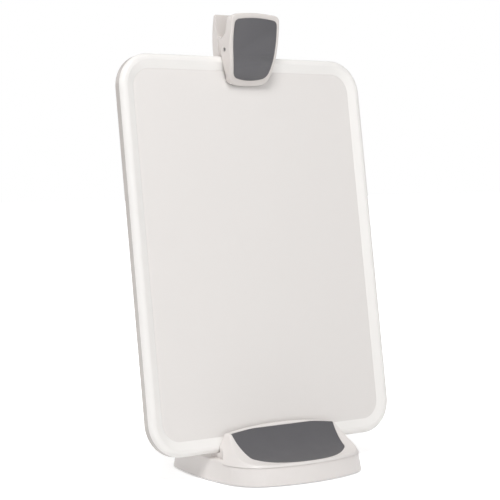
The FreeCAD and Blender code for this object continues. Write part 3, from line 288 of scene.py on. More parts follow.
@dataclass(frozen=True)
class SoftTouch(Finish):
    """Grey thermoplastic elastomer: matt and dense, with a pebbled skin, a dull sheen and rubbed edges."""

    roughness: float = 0.52
    skin_mm: float = 0.8
    skin_deep_mm: float = 0.05
    edge_mm: float = 0.5
    mottle_mm: float = 14.0
    patch_mm: float = 9.0
    rubbed: str = "9A989A"

    def material(self) -> bpy.types.Material:
        """Builds the material.

        Returns:
            The node material.
        """
        made, tree, shader, place = self.start()
        normal, edge = self.worn(tree, self.edge_mm)
        colour = self.mottled(tree, place, self.mottle_mm)
        share = add_node(tree, "ShaderNodeMath", {"operation": "MULTIPLY"}, {0: edge, 1: 0.25})
        pale = add_node(tree, "ShaderNodeMix", {"data_type": "RGBA"},
                        {"Factor": share.outputs[0], 6: colour, 7: linear(self.rubbed)})
        tree.links.new(pale.outputs[2], shader.inputs["Base Color"])
        patches = add_node(tree, "ShaderNodeTexNoise", {},
                           {"Vector": place, "Scale": 1 / (self.patch_mm * MM)})
        uneven = add_node(tree, "ShaderNodeMapRange", {},
                          {"Value": patches.outputs["Fac"],
                           "To Min": self.roughness - 0.06, "To Max": self.roughness + 0.06})
        tree.links.new(uneven.outputs["Result"], shader.inputs["Roughness"])
        pebbled = self.grain(tree, place, self.skin_mm, self.skin_deep_mm, normal)
        tree.links.new(pebbled, shader.inputs["Normal"])
        shader.inputs["IOR"].default_value = 1.49
        shader.inputs["Sheen Weight"].default_value = 0.04
        shader.inputs["Sheen Roughness"].default_value = 0.5
        return made


@dataclass(frozen=True)
class Steel(Finish):
    """Steel: rolled, drawn or plated. Its lines run along one direction and stretch the grain that way."""

    roughness: float = 0.35
    along: tuple = (1.0, 1.0, 1.0)
    line_mm: float = 0.3
    depth_mm: float = 0.01
    mottle_mm: float = 6.0

    def material(self) -> bpy.types.Material:
        """Builds the material.

        Returns:
            The node material.
        """
        made, tree, shader, place = self.start()
        tree.links.new(self.mottled(tree, place, self.mottle_mm), shader.inputs["Base Color"])
        mapping = add_node(tree, "ShaderNodeMapping", {}, {"Vector": place, "Scale": self.along})
        stretched = mapping.outputs["Vector"]
        lines = add_node(tree, "ShaderNodeTexNoise", {},
                         {"Vector": stretched, "Scale": 1 / (self.line_mm * MM)})
        uneven = add_node(tree, "ShaderNodeMapRange", {},
                          {"Value": lines.outputs["Fac"],
                           "To Min": self.roughness - 0.1, "To Max": self.roughness + 0.1})
        tree.links.new(uneven.outputs["Result"], shader.inputs["Roughness"])
        tree.links.new(self.grain(tree, stretched, self.line_mm, self.depth_mm), shader.inputs["Normal"])
        shader.inputs["Metallic"].default_value = 1.0
        return made


def deselect() -> None:
    """Leaves edit mode and deselects everything."""
    if bpy.context.object and bpy.context.object.mode != "OBJECT":
        bpy.ops.object.mode_set(mode="OBJECT")
    bpy.ops.object.select_all(action="DESELECT")


def take(piece: bpy.types.Object) -> bpy.types.Object:
    """Selects one piece only and makes it active.

    Args:
        piece: the piece.

    Returns:
        The same piece.
    """
    deselect()
    piece.select_set(True)
    bpy.context.view_layer.objects.active = piece
    return piece


def pick(piece: bpy.types.Object, kind: str, test: Callable) -> None:
    """Selects faces or edges of a piece, then enters edit mode.

    Args:
        piece: the piece.
        kind: EDGE or FACE.
        test: takes a face's middle and normal, or an edge's middle and run; true selects it.
    """
    take(piece)
    bpy.ops.object.mode_set(mode="EDIT")
    bpy.ops.mesh.select_mode(type=kind)
    bpy.ops.mesh.select_all(action="DESELECT")
    bpy.ops.object.mode_set(mode="OBJECT")
    mesh = piece.data
    if kind == "FACE":
        for face in mesh.polygons:
            face.select = bool(test(face.center, face.normal))
    else:
        for edge in mesh.edges:
            low, high = (mesh.vertices[i].co for i in edge.vertices)
            edge.select = bool(test((low + high) / 2, high - low))
    bpy.ops.object.mode_set(mode="EDIT")


def applied(piece: bpy.types.Object, kind: str, **settings: object) -> bpy.types.Object:
    """Adds a modifier and applies it.

    Args:
        piece: the piece.
        kind: the modifier's type.
        settings: its settings.

    Returns:
        The piece.
    """
    take(piece)
    modifier = piece.modifiers.new(kind.lower(), kind)
    for name, value in settings.items():
        setattr(modifier, name, value)
    bpy.ops.object.modifier_apply(modifier=modifier.name)
    return piece


def combined(piece: bpy.types.Object, tool: bpy.types.Object, operation: str) -> bpy.types.Object:
    """Cuts a piece with a tool, or keeps what they share, and throws the tool away.

    Args:
        piece: the piece.
        tool: the cutting tool.
        operation: INTERSECT or DIFFERENCE.

    Returns:
        The piece.
    """
    applied(piece, "BOOLEAN", object=tool, operation=operation, solver="EXACT")
    bpy.data.objects.remove(tool)
    return piece


def settled(piece: bpy.types.Object, name: str, place: Matrix = None) -> bpy.types.Object:
    """Names a piece and puts its place into its mesh, so that its object sits at the origin.

    Args:
        piece: the piece.
        name: its name.
        place: where it goes.

    Returns:
        The piece.
    """
    take(piece)
    if place:
        piece.matrix_world = place @ piece.matrix_world
    bpy.ops.object.transform_apply(location=True, rotation=True, scale=True)
    piece.name = name
    piece.data.name = name
    return piece


def rounded(piece: bpy.types.Object, width: float, segments: int, degrees: float = 30.0) -> bpy.types.Object:
    """Rounds a piece's edges that turn by more than an angle.

    Args:
        piece: the piece.
        width: width of the rounding.
        segments: its number of faces.
        degrees: the angle in degrees.

    Returns:
        The piece.
    """
    return applied(piece, "BEVEL", width=width, segments=segments, limit_method="ANGLE",
                   angle_limit=math.radians(degrees))


def cleaned(piece: bpy.types.Object, smooth: float = 32.0) -> bpy.types.Object:
    """Merges doubled points, points all faces outwards and shades smooth below an angle.

    Args:
        piece: the piece.
        smooth: the angle in degrees.

    Returns:
        The piece.
    """
    take(piece)
    bpy.ops.object.mode_set(mode="EDIT")
    bpy.ops.mesh.select_all(action="SELECT")
    bpy.ops.mesh.remove_doubles(threshold=0.002 * MM)
    bpy.ops.mesh.normals_make_consistent(inside=False)
    bpy.ops.object.mode_set(mode="OBJECT")
    bpy.ops.object.shade_smooth_by_angle(angle=math.radians(smooth))
    return piece


def round_bar(radius: float, length: float, middle: Vector, sides: int,
              turn: tuple = (0, 0, 0)) -> bpy.types.Object:
    """Adds a round bar along Z, turned and placed.

    Args:
        radius: its radius.
        length: its length.
        middle: its middle.
        sides: its number of sides.
        turn: rotation about X, Y and Z.

    Returns:
        The bar.
    """
    deselect()
    bpy.ops.mesh.primitive_cylinder_add(vertices=sides, radius=radius, depth=length,
                                        location=middle, rotation=turn)
    return settled(bpy.context.object, "bar")


def block(low: Vector, high: Vector) -> bpy.types.Object:
    """Adds a block between two corners.

    Args:
        low: its lowest corner.
        high: its highest corner.

    Returns:
        The block.
    """
    deselect()
    bpy.ops.mesh.primitive_cube_add(size=1.0, location=(low + high) / 2)
    bpy.context.object.scale = high - low
    return settled(bpy.context.object, "block")


def arc_through(a: tuple, b: tuple, c: tuple) -> tuple:
    """Finds the circle through three points of a plane.

    Args:
        a: first point.
        b: second point.
        c: third point.

    Returns:
        The circle's centre and radius.
    """
    (ax, ay), (bx, by), (cx, cy) = a, b, c
    det = 2 * (ax * (by - cy) + bx * (cy - ay) + cx * (ay - by))
    a2, b2, c2 = ax * ax + ay * ay, bx * bx + by * by, cx * cx + cy * cy
    x = (a2 * (by - cy) + b2 * (cy - ay) + c2 * (ay - by)) / det
    y = (a2 * (cx - bx) + b2 * (ax - cx) + c2 * (bx - ax)) / det
    return (x, y), math.hypot(ax - x, ay - y)


def meeting(first: tuple, second: tuple, near: tuple) -> tuple:
    """Finds where two circles cross, nearest to a point.

    Args:
        first: centre and radius of a circle.
        second: centre and radius of the other.
        near: the point.

    Returns:
        The crossing.
    """
    (ax, ay), ar = first
    (bx, by), br = second
    apart = math.hypot(bx - ax, by - ay)
    along = (apart * apart + ar * ar - br * br) / (2 * apart)
    off = math.sqrt(max(ar * ar - along * along, 0.0))
    ux, uy = (bx - ax) / apart, (by - ay) / apart
    spots = [(ax + ux * along - uy * off * side, ay + uy * along + ux * off * side) for side in (-1, 1)]
    return min(spots, key=lambda spot: math.dist(spot, near))


def swept(centre: tuple, radius: float, start: tuple, end: tuple, pitch: float) -> list:
    """Walks a circle anticlockwise from one of its points towards another.

    Args:
        centre: its centre.
        radius: its radius.
        start: where the walk starts.
        end: where it ends; this point is left to the next walk.
        pitch: the longest step.

    Returns:
        The points passed.
    """
    first = math.atan2(start[1] - centre[1], start[0] - centre[0])
    turn = (math.atan2(end[1] - centre[1], end[0] - centre[0]) - first) % (2 * math.pi)
    steps = max(1, math.ceil(turn * radius / pitch))
    return [(centre[0] + radius * math.cos(first + turn * k / steps),
             centre[1] + radius * math.sin(first + turn * k / steps)) for k in range(steps)]


def bowed_outline(corners: list, bows: list, roundings: list) -> list:
    """Works out a closed outline of bowed sides with round corners.

    Args:
        corners: the sharp corners, anticlockwise.
        bows: for each corner, a point that the side after it passes through.
        roundings: the radius at each corner.

    Returns:
        The outline's points.
    """
    count = len(corners)
    sides = [arc_through(corners[i], bows[i], corners[(i + 1) % count]) for i in range(count)]
    turns = []
    for i, corner in enumerate(corners):
        (before, wide), (after, broad), radius = sides[i - 1], sides[i], roundings[i]
        middle = meeting((before, wide - radius), (after, broad - radius), corner)
        touches = []
        for centre, reach in ((before, wide), (after, broad)):
            share = reach / (reach - radius)
            touches.append(tuple(c + (m - c) * share for c, m in zip(centre, middle)))
        turns.append((middle, radius, touches))
    points = []
    for i in range(count):
        middle, radius, (enter, leave) = turns[i]
        if radius:
            points += swept(middle, radius, enter, leave, CORNER_PITCH)
        points += swept(*sides[i], leave, turns[(i + 1) % count][2][0], SIDE_PITCH)
    return points


def upright_prism(points: list, low: float, high: float) -> bpy.types.Object:
    """Models an upright block with a given outline: a round blank is drawn to it and extruded.

    Args:
        points: the outline, anticlockwise.
        low: Z of its lower face.
        high: Z of its upper face.

    Returns:
        The block.
    """
    deselect()
    bpy.ops.mesh.primitive_circle_add(vertices=len(points), radius=1.0, fill_type="NGON")
    made = bpy.context.object
    for vertex, (x, y) in zip(made.data.vertices, points):
        vertex.co = (x, y, low)
    bpy.ops.object.mode_set(mode="EDIT")
    bpy.ops.mesh.select_all(action="SELECT")
    bpy.ops.mesh.extrude_region_move(TRANSFORM_OT_translate={"value": (0, 0, high - low)})
    bpy.ops.object.mode_set(mode="OBJECT")
    return cleaned(made)


def solids_of(node: str, turned: Matrix, apart: float = 9.0 * MM) -> list:
    """Finds the separate solids of a CAD node.

    Args:
        node: the node's name.
        turned: matrix into the coordinates wanted.
        apart: points nearer than this across Z belong to one solid.

    Returns:
        The lowest and highest corner of each solid.
    """
    found = []
    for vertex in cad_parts[node].data.vertices:
        point = turned @ vertex.co
        for group in found:
            if math.hypot(point.x - group[0].x, point.y - group[0].y) < apart:
                group.append(point)
                break
        else:
            found.append([point])
    return [tuple(Vector([end(point[i] for point in group) for i in range(3)]) for end in (min, max))
            for group in found]


@dataclass
class CrossScrew:
    """A small cross-recessed screw: a domed round head, a tapered cross and a plain shank."""

    head: float = 2.6 * MM
    thick: float = 1.1 * MM
    shank: float = 1.3 * MM
    dome: float = 0.35 * MM
    cross_half: float = 1.55 * MM
    cross_wide: float = 0.32 * MM
    cross_deep: float = 0.75 * MM
    cross_taper: float = 0.62
    sides: int = 48

    def build(self, length: float) -> bpy.types.Object:
        """Models one screw with the outer face of its head at Z = 0 and its shank upwards.

        Args:
            length: its length from the face of its head.

        Returns:
            The screw.
        """
        screw = round_bar(self.head, self.thick, Vector((0, 0, self.thick / 2)), self.sides)
        pick(screw, "FACE", lambda middle, normal: normal.z > FACING)
        bpy.ops.mesh.inset(thickness=self.head - self.shank)
        bpy.ops.mesh.extrude_region_move(TRANSFORM_OT_translate={"value": (0, 0, length - self.thick)})
        bpy.ops.object.mode_set(mode="OBJECT")
        for radius, level, segments in ((self.head, 0.0, 4), (self.shank, length, 2)):
            pick(screw, "EDGE", lambda middle, run: (
                abs(middle.z - level) < NEAR and middle.xy.length > radius * FACING))
            bpy.ops.mesh.bevel(offset=self.dome, offset_type="OFFSET", segments=segments, affect="EDGES")
            bpy.ops.object.mode_set(mode="OBJECT")
        for wide, deep in ((self.cross_half, self.cross_wide), (self.cross_wide, self.cross_half)):
            combined(screw, self.blade(wide, deep), "DIFFERENCE")
        return cleaned(screw)

    def blade(self, wide: float, deep: float) -> bpy.types.Object:
        """Models one blade of the cross, narrower at its bottom.

        Args:
            wide: half its length along X.
            deep: half its length along Y.

        Returns:
            The blade.
        """
        blade = block(Vector((-wide, -deep, -self.thick)), Vector((wide, deep, self.cross_deep)))
        pick(blade, "FACE", lambda middle, normal: normal.z > FACING)
        bpy.ops.transform.resize(value=(self.cross_taper, self.cross_taper, 1.0))
        bpy.ops.object.mode_set(mode="OBJECT")
        return blade

    def fit(self, node: str, body: str, way: Screwed, steel: bpy.types.Material, board: Matrix) -> None:
        """Stands a screw in every place of a CAD node's screws.

        Args:
            node: the CAD node.
            body: the body that it rides on.
            way: which way the screws are driven.
            steel: their material.
            board: matrix from the board's own coordinates.
        """
        turned = board if way is Screwed.FORWARD else Matrix.Identity(4)
        copies = []
        for low, high in solids_of(node, turned.inverted()):
            spot = Matrix.Translation(Vector(((low.x + high.x) / 2, (low.y + high.y) / 2, low.z)))
            if not copies:
                first = self.build(high.z - low.z)
                shape = first.data.copy()
                copies.append(settled(first, node + "_1", turned @ spot))
                continue
            copy = bpy.data.objects.new(node + "_more", shape.copy())
            bpy.context.scene.collection.objects.link(copy)
            copies.append(settled(copy, node + "_more", turned @ spot))
        deselect()
        for copy in copies:
            copy.select_set(True)
        bpy.context.view_layer.objects.active = copies[0]
        bpy.ops.object.join()
        hand_in(copies[0], node + "_crossed", steel, body, "screw_steel", node)


def hand_in(piece: bpy.types.Object, name: str, finish: bpy.types.Material, body: str, slot: str,
            *nodes: str) -> None:
    """Dresses a finished piece and tells the frame what it rides on and stands for.

    Args:
        piece: the piece.
        name: its name.
        finish: its material.
        body: the body that it rides on.
        slot: the record's material slot; not used.
        nodes: the CAD nodes that it stands for.
    """
    piece.name = name
    piece.data.name = name
    piece.data.materials.clear()
    piece.data.materials.append(finish)
    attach(piece, body)
    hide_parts(*nodes)
    LOG.info("%s: %d faces, rides on %s", name, len(piece.data.polygons), body)


def dress(node: str, finish: bpy.types.Material) -> None:
    """Gives a CAD node that stays its real material.

    Args:
        node: the node's name.
        finish: its material.
    """
    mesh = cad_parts[node].data
    mesh.materials.clear()
    mesh.materials.append(finish)
    LOG.info("%s: CAD shape in %s", node, finish.name)


@dataclass
class WeightedBase:
    """The base: moulded shell with its scoop, soft pad, bottom plate, weight, feet and back rest."""

    scoop_radius: float = 48.0 * MM
    scoop_line: tuple = (-68.2 * MM, 65.0 * MM)
    arch_top: float = 40.4 * MM
    arch_drop: float = 5.2 * MM
    arch_half: float = 58.5 * MM
    pad_thick: float = 2.0 * MM
    pad_sink: float = 0.3 * MM
    pad_front: float = -70.4 * MM
    pad_low_half: float = 46.3 * MM
    pad_side_length: float = 23.6 * MM
    pad_corner: float = 5.9 * MM
    pad_edge: float = 0.3 * MM
    foot_recess: float = 0.35 * MM
    foot_rim: float = 1.3 * MM
    foot_edge: float = 0.25 * MM
    foot_draw: float = 0.97
    foot_sides: int = 96
    cutter: float = 0.4
    cutter_sides: int = 720

    def build(self, finishes: dict) -> None:
        """Builds and dresses the base.

        Args:
            finishes: the materials by name.
        """
        dress("base_shell", finishes["shell"])
        dress("base_bottom_plate", finishes["hidden_abs"])
        dress("base_weight", finishes["rolled"])
        dress("back_rest", finishes["hidden_abs"])
        hand_in(self.scoop_pad(), "scoop_pad_skin", finishes["soft"], "base", "grey_soft", "base_soft_pad")
        self.feet(finishes["rubber"])

    def scoop_pad(self) -> bpy.types.Object:
        """Models the pad: a bent skin cut to its outline, its edge just rounded.

        Returns:
            The pad.
        """
        low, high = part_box("base_soft_pad")
        pad = self.outline_block(high.x, high.y)
        line = Vector((0, *self.scoop_line))
        across = (0, math.pi / 2, 0)
        outer = self.scoop_radius + self.pad_sink + self.pad_thick
        combined(pad, round_bar(outer, self.cutter, line, self.cutter_sides, across), "INTERSECT")
        inner = round_bar(outer - self.pad_thick, self.cutter, line, self.cutter_sides, across)
        combined(pad, inner, "DIFFERENCE")
        arch = (self.arch_half ** 2 + self.arch_drop ** 2) / (2 * self.arch_drop)
        crown = Vector((0, 0, self.arch_top - self.pad_sink - arch))
        arched = round_bar(arch, self.cutter, crown, 2 * self.cutter_sides, (math.pi / 2, 0, 0))
        combined(pad, arched, "INTERSECT")
        return cleaned(rounded(cleaned(pad), self.pad_edge, 3, SHARP), BLUNT)

    def outline_block(self, half: float, rear: float) -> bpy.types.Object:
        """Models an upright block with the pad's outline: round in front, straight sides, round corners.

        Args:
            half: half its width at the rear.
            rear: Y of its rear edge.

        Returns:
            The block.
        """
        turn_y = rear - self.pad_side_length
        corners = [(half, rear), (-half, rear), (-self.pad_low_half, turn_y), (self.pad_low_half, turn_y)]
        bows = [(0, rear + HAIR)]
        for side in (-1, 1):
            bows.append((side * ((half + self.pad_low_half) / 2 + HAIR), (rear + turn_y) / 2))
        bows.insert(2, (0, self.pad_front))
        outline = bowed_outline(corners, bows, [0.0, 0.0, self.pad_corner, self.pad_corner])
        return upright_prism(outline, 0.0, SPAN)

    def feet(self, rubber: bpy.types.Material) -> None:
        """Models one foot with a hollowed sole and stands a copy in each place.

        Args:
            rubber: its material.
        """
        for place in ("front_left", "front_right", "rear_left", "rear_right"):
            low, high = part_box("foot_" + place)
            radius, middle = (high.x - low.x) / 2, (low + high) / 2
            foot = round_bar(radius, high.z - low.z, middle, self.foot_sides)
            pick(foot, "FACE", lambda centre, normal: normal.z < -FACING)
            bpy.ops.mesh.inset(thickness=self.foot_rim)
            bpy.ops.mesh.extrude_region_move(TRANSFORM_OT_translate={"value": (0, 0, self.foot_recess)})
            bpy.ops.transform.resize(value=(self.foot_draw, self.foot_draw, 1.0), center_override=middle)
            bpy.ops.object.mode_set(mode="OBJECT")
            rounded(foot, self.foot_edge, 3, BLUNT)
            hand_in(cleaned(foot), "rubber_foot_" + place, rubber, "base", "foot_rubber", "foot_" + place)


@dataclass
class LeaningBoard:
    """The board: a tray with a raised rim, its back cover and their screws."""

    lean: float = math.radians(9.1)
    seat: tuple = (0.0, -21.7 * MM, 21.6 * MM)

    def place(self) -> Matrix:
        """Works out where the leaning board stands.

        Returns:
            The matrix from the board's own coordinates (across, up, out) to the scene's.
        """
        up = Vector((0, math.sin(self.lean), math.cos(self.lean)))
        out = Vector((0, -math.cos(self.lean), math.sin(self.lean)))
        turn = Matrix((Vector((1, 0, 0)), up, out)).transposed().to_4x4()
        return Matrix.Translation(Vector(self.seat)) @ turn

    def build(self, finishes: dict) -> None:
        """Dresses the board.

        Args:
            finishes: the materials by name.
        """
        dress("board_tray", finishes["tray"])
        dress("board_back_cover", finishes["cover"])


@dataclass
class SprungClip:
    """The clip: rear lever, jaw, soft jaw pad, ribbed grip strip, hinge pin and torsion spring."""

    tilt: float = math.radians(15.9)
    pivot: tuple = (323.5 * MM, 9.5 * MM)
    face_out: float = 8.4 * MM
    bend_below: float = 5.5 * MM
    bend_radius: float = 48.0 * MM
    bend_sweep: float = math.radians(34)
    pad_sunk: float = 1.0 * MM
    pad_proud: float = 0.6 * MM
    pad_edge: float = 0.45 * MM
    bend_steps: int = 28
    jaw_top: float = 351.4 * MM
    jaw_lip: float = 295.2 * MM
    halves: tuple = (20.35 * MM, 20.95 * MM, 16.25 * MM)
    ends_in: tuple = (4.45 * MM, 3.95 * MM)
    end_bows: tuple = (1.8 * MM, 2.3 * MM)
    corners: tuple = (4.2 * MM, 6.5 * MM)
    widest: float = 0.42
    skin_half: float = 30.0 * MM
    skin_rise: float = 36.0 * MM
    end_reach: float = 1.2 * MM
    grooves: int = 5
    groove_deep: float = 0.45 * MM
    groove_sides: int = 16
    grip_edge: float = 0.3 * MM

    def build(self, finishes: dict, board: Matrix) -> None:
        """Builds and dresses the clip.

        Args:
            finishes: the materials by name.
            board: matrix from the board's own coordinates.
        """
        dress("clip_jaw", finishes["clip"])
        dress("clip_bracket", finishes["clip"])
        dress("clip_hinge_pin", finishes["drawn"])
        dress("clip_spring", finishes["wire"])
        hand_in(self.face_pad(board), "jaw_pad_skin", finishes["soft"], "jaw", "grey_soft", "clip_jaw_pad")
        hand_in(self.grip(board), "ribbed_grip", finishes["rubber"], "jaw", "foot_rubber", "clip_grip_strip")

    def face_pad(self, board: Matrix) -> bpy.types.Object:
        """Models the jaw's pad: a bent skin cut to the shield's outline, its front edge rounded.

        Args:
            board: matrix from the board's own coordinates.

        Returns:
            The pad.
        """
        up, out = self.pivot
        cos, sin = math.cos(self.tilt), math.sin(self.tilt)
        bend = Vector((0, up, out + self.face_out)) - Vector((0, cos, sin)) * (self.bend_below / cos)
        turn = Matrix((Vector((1, 0, 0)), Vector((0, cos, sin)), Vector((0, -sin, cos))))
        turn = turn.transposed().to_4x4()
        skin = settled(self.bent_skin(), "jaw_pad_skin", Matrix.Translation(bend) @ turn)
        combined(skin, self.shield_block(), "INTERSECT")
        rounded(cleaned(skin), self.pad_edge, 4, SHARP)
        return cleaned(settled(skin, "jaw_pad_skin", board), BLUNT)

    def bent_skin(self) -> bpy.types.Object:
        """Models a skin that is straight above its bend and curves back below it.

        Returns:
            The skin, its bend at the origin and its face towards Z.
        """
        skin = block(Vector((-self.skin_half, 0, -self.pad_sunk)),
                     Vector((self.skin_half, self.skin_rise, self.pad_proud)))
        pick(skin, "FACE", lambda middle, normal: normal.y < -FACING)
        bpy.ops.mesh.delete(type="ONLY_FACE")
        bpy.ops.object.mode_set(mode="OBJECT")
        pick(skin, "EDGE", lambda middle, run: middle.y < NEAR and abs(run.y) < NEAR)
        bpy.ops.mesh.spin(steps=self.bend_steps, angle=-self.bend_sweep, center=(0, 0, -self.bend_radius), axis=(1, 0, 0))
        bpy.ops.object.mode_set(mode="OBJECT")
        end = min(vertex.co.y for vertex in skin.data.vertices)
        if end > -MM:
            raise ValueError("the jaw pad's skin bent the wrong way")
        pick(skin, "EDGE", lambda middle, run: middle.y < end + self.end_reach and self.at_end(middle))
        bpy.ops.mesh.edge_face_add()
        bpy.ops.object.mode_set(mode="OBJECT")
        return cleaned(skin)

    def at_end(self, middle: Vector) -> bool:
        """Tells whether a point lies in the plane where the bent skin ends.

        Args:
            middle: the point.

        Returns:
            True if it does.
        """
        angle = math.atan2(-middle.y, middle.z + self.bend_radius)
        return abs(angle - self.bend_sweep) < 1e-4

    def shield_block(self) -> bpy.types.Object:
        """Models a block with the pad's outline, bowed with round corners, in the board's coordinates.

        Returns:
            The block.
        """
        high_x, mid_x, low_x = self.halves
        top, low = self.jaw_top - self.ends_in[0], self.jaw_lip + self.ends_in[1]
        high_y, low_y = top - self.end_bows[0], low + self.end_bows[1]
        mid_y = self.jaw_top - self.widest * (self.jaw_top - self.jaw_lip)
        corners = [(high_x, high_y), (-high_x, high_y), (-low_x, low_y), (low_x, low_y)]
        bows = [(0, top), (-mid_x, mid_y), (0, low), (mid_x, mid_y)]
        upper, lower = self.corners
        outline = bowed_outline(corners, bows, [upper, upper, lower, lower])
        return upright_prism(outline, -SPAN / 3, SPAN)

    def grip(self, board: Matrix) -> bpy.types.Object:
        """Models the grip strip with grooves across the paper's pull.

        Args:
            board: matrix from the board's own coordinates.

        Returns:
            The strip.
        """
        (low, high), = solids_of("clip_grip_strip", board.inverted(), SPAN)
        strip = rounded(block(low, high), self.grip_edge, 3)
        pitch = (high.y - low.y) / (self.grooves + 1)
        for number in range(self.grooves):
            y = low.y + pitch * (number + 1)
            bar = round_bar(self.groove_deep, 2 * SPAN, Vector((0, y, low.z)), self.groove_sides,
                            (0, math.pi / 2, 0))
            combined(strip, bar, "DIFFERENCE")
        return settled(cleaned(strip), "ribbed_grip", board)


class Studio:
    """Pale floor, soft lamps and the camera at the photograph's place."""

    # Name, place, width in metres and power in watts of each lamp; the first gives the rim its bright crest.
    LAMPS = (("above", (-0.7, -1.0, 1.75), 0.7, 20.5), ("front", (-0.7, -1.9, 0.6), 1.0, 3.5),
             ("behind", (-0.9, 1.2, 1.2), 1.2, 8.0))
    LAMP_AIM = (0, 0, 0.18)
    # The floor's glow and the air's light: from a low level at the first distance or side to a full one.
    FLOOR_GLOW = {"From Min": 0.08, "From Max": 0.32, "To Min": 0.46, "To Max": 1.0}
    AIR_LIGHT = {"From Min": -0.95, "From Max": -0.35, "To Min": 0.30, "To Max": 0.41}
    FLOOR_WIDE = 12.0
    CAMERA_PLACE = (-0.70719, -1.00055, 0.25876)
    CAMERA_LOOK = (0.56922, 0.81962, -0.06490)
    CAMERA_LENS = 107.88

    def build(self) -> None:
        """Builds the whole studio."""
        self.floor()
        self.world()
        self.lamps()
        self.camera()

    def floor(self) -> None:
        """Lays the floor: white with the object's soft shadow from above, clear from below."""
        deselect()
        bpy.ops.mesh.primitive_plane_add(size=self.FLOOR_WIDE)
        floor = bpy.context.object
        floor.name = "studio_floor"
        made = bpy.data.materials.new("pale_floor")
        made.use_nodes = True
        tree = made.node_tree
        tree.nodes.clear()
        path = add_node(tree, "ShaderNodeLightPath")
        plain = add_node(tree, "ShaderNodeBsdfDiffuse", {}, {"Color": linear("F6F6F6")})
        place = add_node(tree, "ShaderNodeTexCoord").outputs["Object"]
        away = add_node(tree, "ShaderNodeVectorMath", {"operation": "LENGTH"}, {0: place})
        level = add_node(tree, "ShaderNodeMapRange", {"interpolation_type": "SMOOTHSTEP"},
                         {"Value": away.outputs["Value"], **self.FLOOR_GLOW})
        glow = add_node(tree, "ShaderNodeEmission", {},
                        {"Color": linear("FFFFFF"), "Strength": level.outputs["Result"]})
        lit = add_node(tree, "ShaderNodeAddShader", {}, {0: plain.outputs[0], 1: glow.outputs[0]})
        direct = add_node(tree, "ShaderNodeMath", {"operation": "MAXIMUM"},
                          {0: path.outputs["Is Camera Ray"], 1: path.outputs["Is Glossy Ray"]})
        seen = add_node(tree, "ShaderNodeMixShader", {},
                        {0: direct.outputs[0], 1: plain.outputs[0], 2: lit.outputs[0]})
        below = add_node(tree, "ShaderNodeNewGeometry").outputs["Backfacing"]
        clear = add_node(tree, "ShaderNodeBsdfTransparent")
        sided = add_node(tree, "ShaderNodeMixShader", {}, {0: below, 1: seen.outputs[0], 2: clear.outputs[0]})
        add_node(tree, "ShaderNodeOutputMaterial", {}, {"Surface": sided.outputs[0]})
        floor.data.materials.append(made)

    def world(self) -> None:
        """Sets the surroundings: white to the eye, softer as light, and darkest at the left."""
        world = bpy.data.worlds.new("studio_air")
        bpy.context.scene.world = world
        world.use_nodes = True
        tree = world.node_tree
        tree.nodes.clear()
        path = add_node(tree, "ShaderNodeLightPath")
        seen = add_node(tree, "ShaderNodeBackground", {}, {"Color": linear("FFFFFF"), "Strength": 1.0})
        way = add_node(tree, "ShaderNodeTexCoord").outputs["Generated"]
        aside = add_node(tree, "ShaderNodeVectorMath", {"operation": "DOT_PRODUCT"},
                         {0: way, 1: (1.0, 0.0, 0.0)})
        flagged = add_node(tree, "ShaderNodeMapRange", {"interpolation_type": "SMOOTHSTEP"},
                           {"Value": aside.outputs["Value"], **self.AIR_LIGHT})
        air = add_node(tree, "ShaderNodeBackground", {},
                       {"Color": linear("FFFFFF"), "Strength": flagged.outputs["Result"]})
        straight = add_node(tree, "ShaderNodeMath", {"operation": "MAXIMUM"},
                            {0: path.outputs["Is Camera Ray"], 1: path.outputs["Is Transmission Ray"]})
        mix = add_node(tree, "ShaderNodeMixShader", {},
                       {0: straight.outputs[0], 1: air.outputs[0], 2: seen.outputs[0]})
        add_node(tree, "ShaderNodeOutputWorld", {}, {"Surface": mix.outputs[0]})

    def lamps(self) -> None:
        """Hangs the soft lamps and turns each to the middle of the object."""
        for name, place, size, power in self.LAMPS:
            bpy.ops.object.light_add(type="AREA", location=place)
            lamp = bpy.context.object
            lamp.name = "lamp_" + name
            lamp.data.size = size
            lamp.data.energy = power
            lamp.rotation_euler = (Vector(self.LAMP_AIM) - Vector(place)).to_track_quat("-Z", "Y").to_euler()

    def camera(self) -> None:
        """Places the camera where the photograph was taken from."""
        turn = Vector(self.CAMERA_LOOK).to_track_quat("-Z", "Y").to_euler()
        bpy.ops.object.camera_add(location=self.CAMERA_PLACE, rotation=turn)
        camera = bpy.context.object
        camera.name = "photo_camera"
        camera.data.lens = self.CAMERA_LENS
        camera.data.sensor_width = 36.0
        camera.data.clip_start = 0.01
        bpy.context.scene.camera = camera


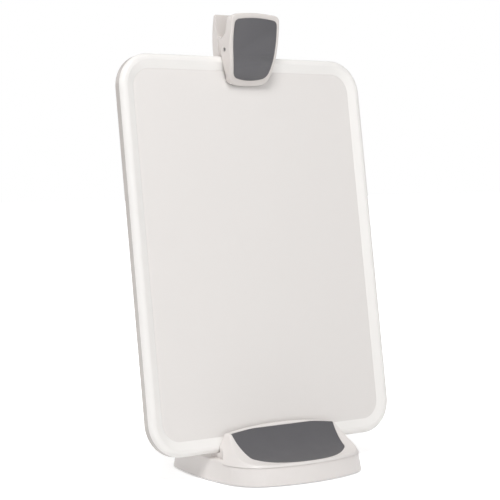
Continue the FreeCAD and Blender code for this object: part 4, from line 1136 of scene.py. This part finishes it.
def make_finishes(board: Matrix) -> dict:
    """Makes every material once.

    Args:
        board: matrix from the board's own coordinates.

    Returns:
        The materials by name.
    """
    finishes = {
        "shell": MouldedAbs("satin_white_abs", "EDE8E5", "EAE5E2"),
        "tray": TwoFacedAbs("sparked_panel_abs", "F9F7F4", "F7F4F1", origin=tuple(board.translation),
                            normal=tuple(board.to_3x3() @ Vector((0, 0, 1)))),
        "clip": MouldedAbs("moulded_clip_abs", "E5DFDB", "E2DCD8"),
        "cover": MouldedAbs("sparked_cover_abs", "EFEBE7", "EBE6E2", MouldFace.SPARKED),
        "hidden_abs": MouldedAbs("sparked_white_abs", "F2EEEA", "EDE9E5", MouldFace.SPARKED),
        "soft": SoftTouch("soft_touch_elastomer", "636265", "5E5D60"),
        "rubber": SoftTouch("moulded_black_rubber", "262628", "1F1F21", roughness=0.68, skin_mm=0.6),
        "plated": Steel("zinc_plated_steel", "C6C8CC", "B3B5B8", 0.30),
        "wire": Steel("drawn_spring_steel", "8C8E92", "77797D", 0.34, line_mm=0.25),
        "drawn": Steel("bright_drawn_steel", "A9ABAE", "97999C", 0.28, (0.06, 1.0, 1.0), 0.2),
        "rolled": Steel("rolled_mild_steel", "83817E", "6A6764", 0.48, (1.0, 0.15, 1.0), 0.6, 0.02),
    }
    return {name: finish.material() for name, finish in finishes.items()}


def main() -> None:
    """Builds the studio and dresses every piece."""
    logging.basicConfig(level=logging.INFO)
    deselect()
    Studio().build()
    board = LeaningBoard()
    place = board.place()
    finishes = make_finishes(place)
    WeightedBase().build(finishes)
    board.build(finishes)
    SprungClip().build(finishes, place)
    screw = CrossScrew()
    from_below = ("base_plate_screws", "base_weight_screws", "back_rest_screws")
    from_behind = ("board_cover_screws", "clip_bracket_screws")
    for body, way, nodes in (("base", Screwed.UP, from_below), ("board", Screwed.FORWARD, from_behind)):
        for node in nodes:
            screw.fit(node, body, way, finishes["plated"], place)
    bpy.context.scene.view_settings.view_transform = "Standard"


if __name__ == "__main__":
    main()
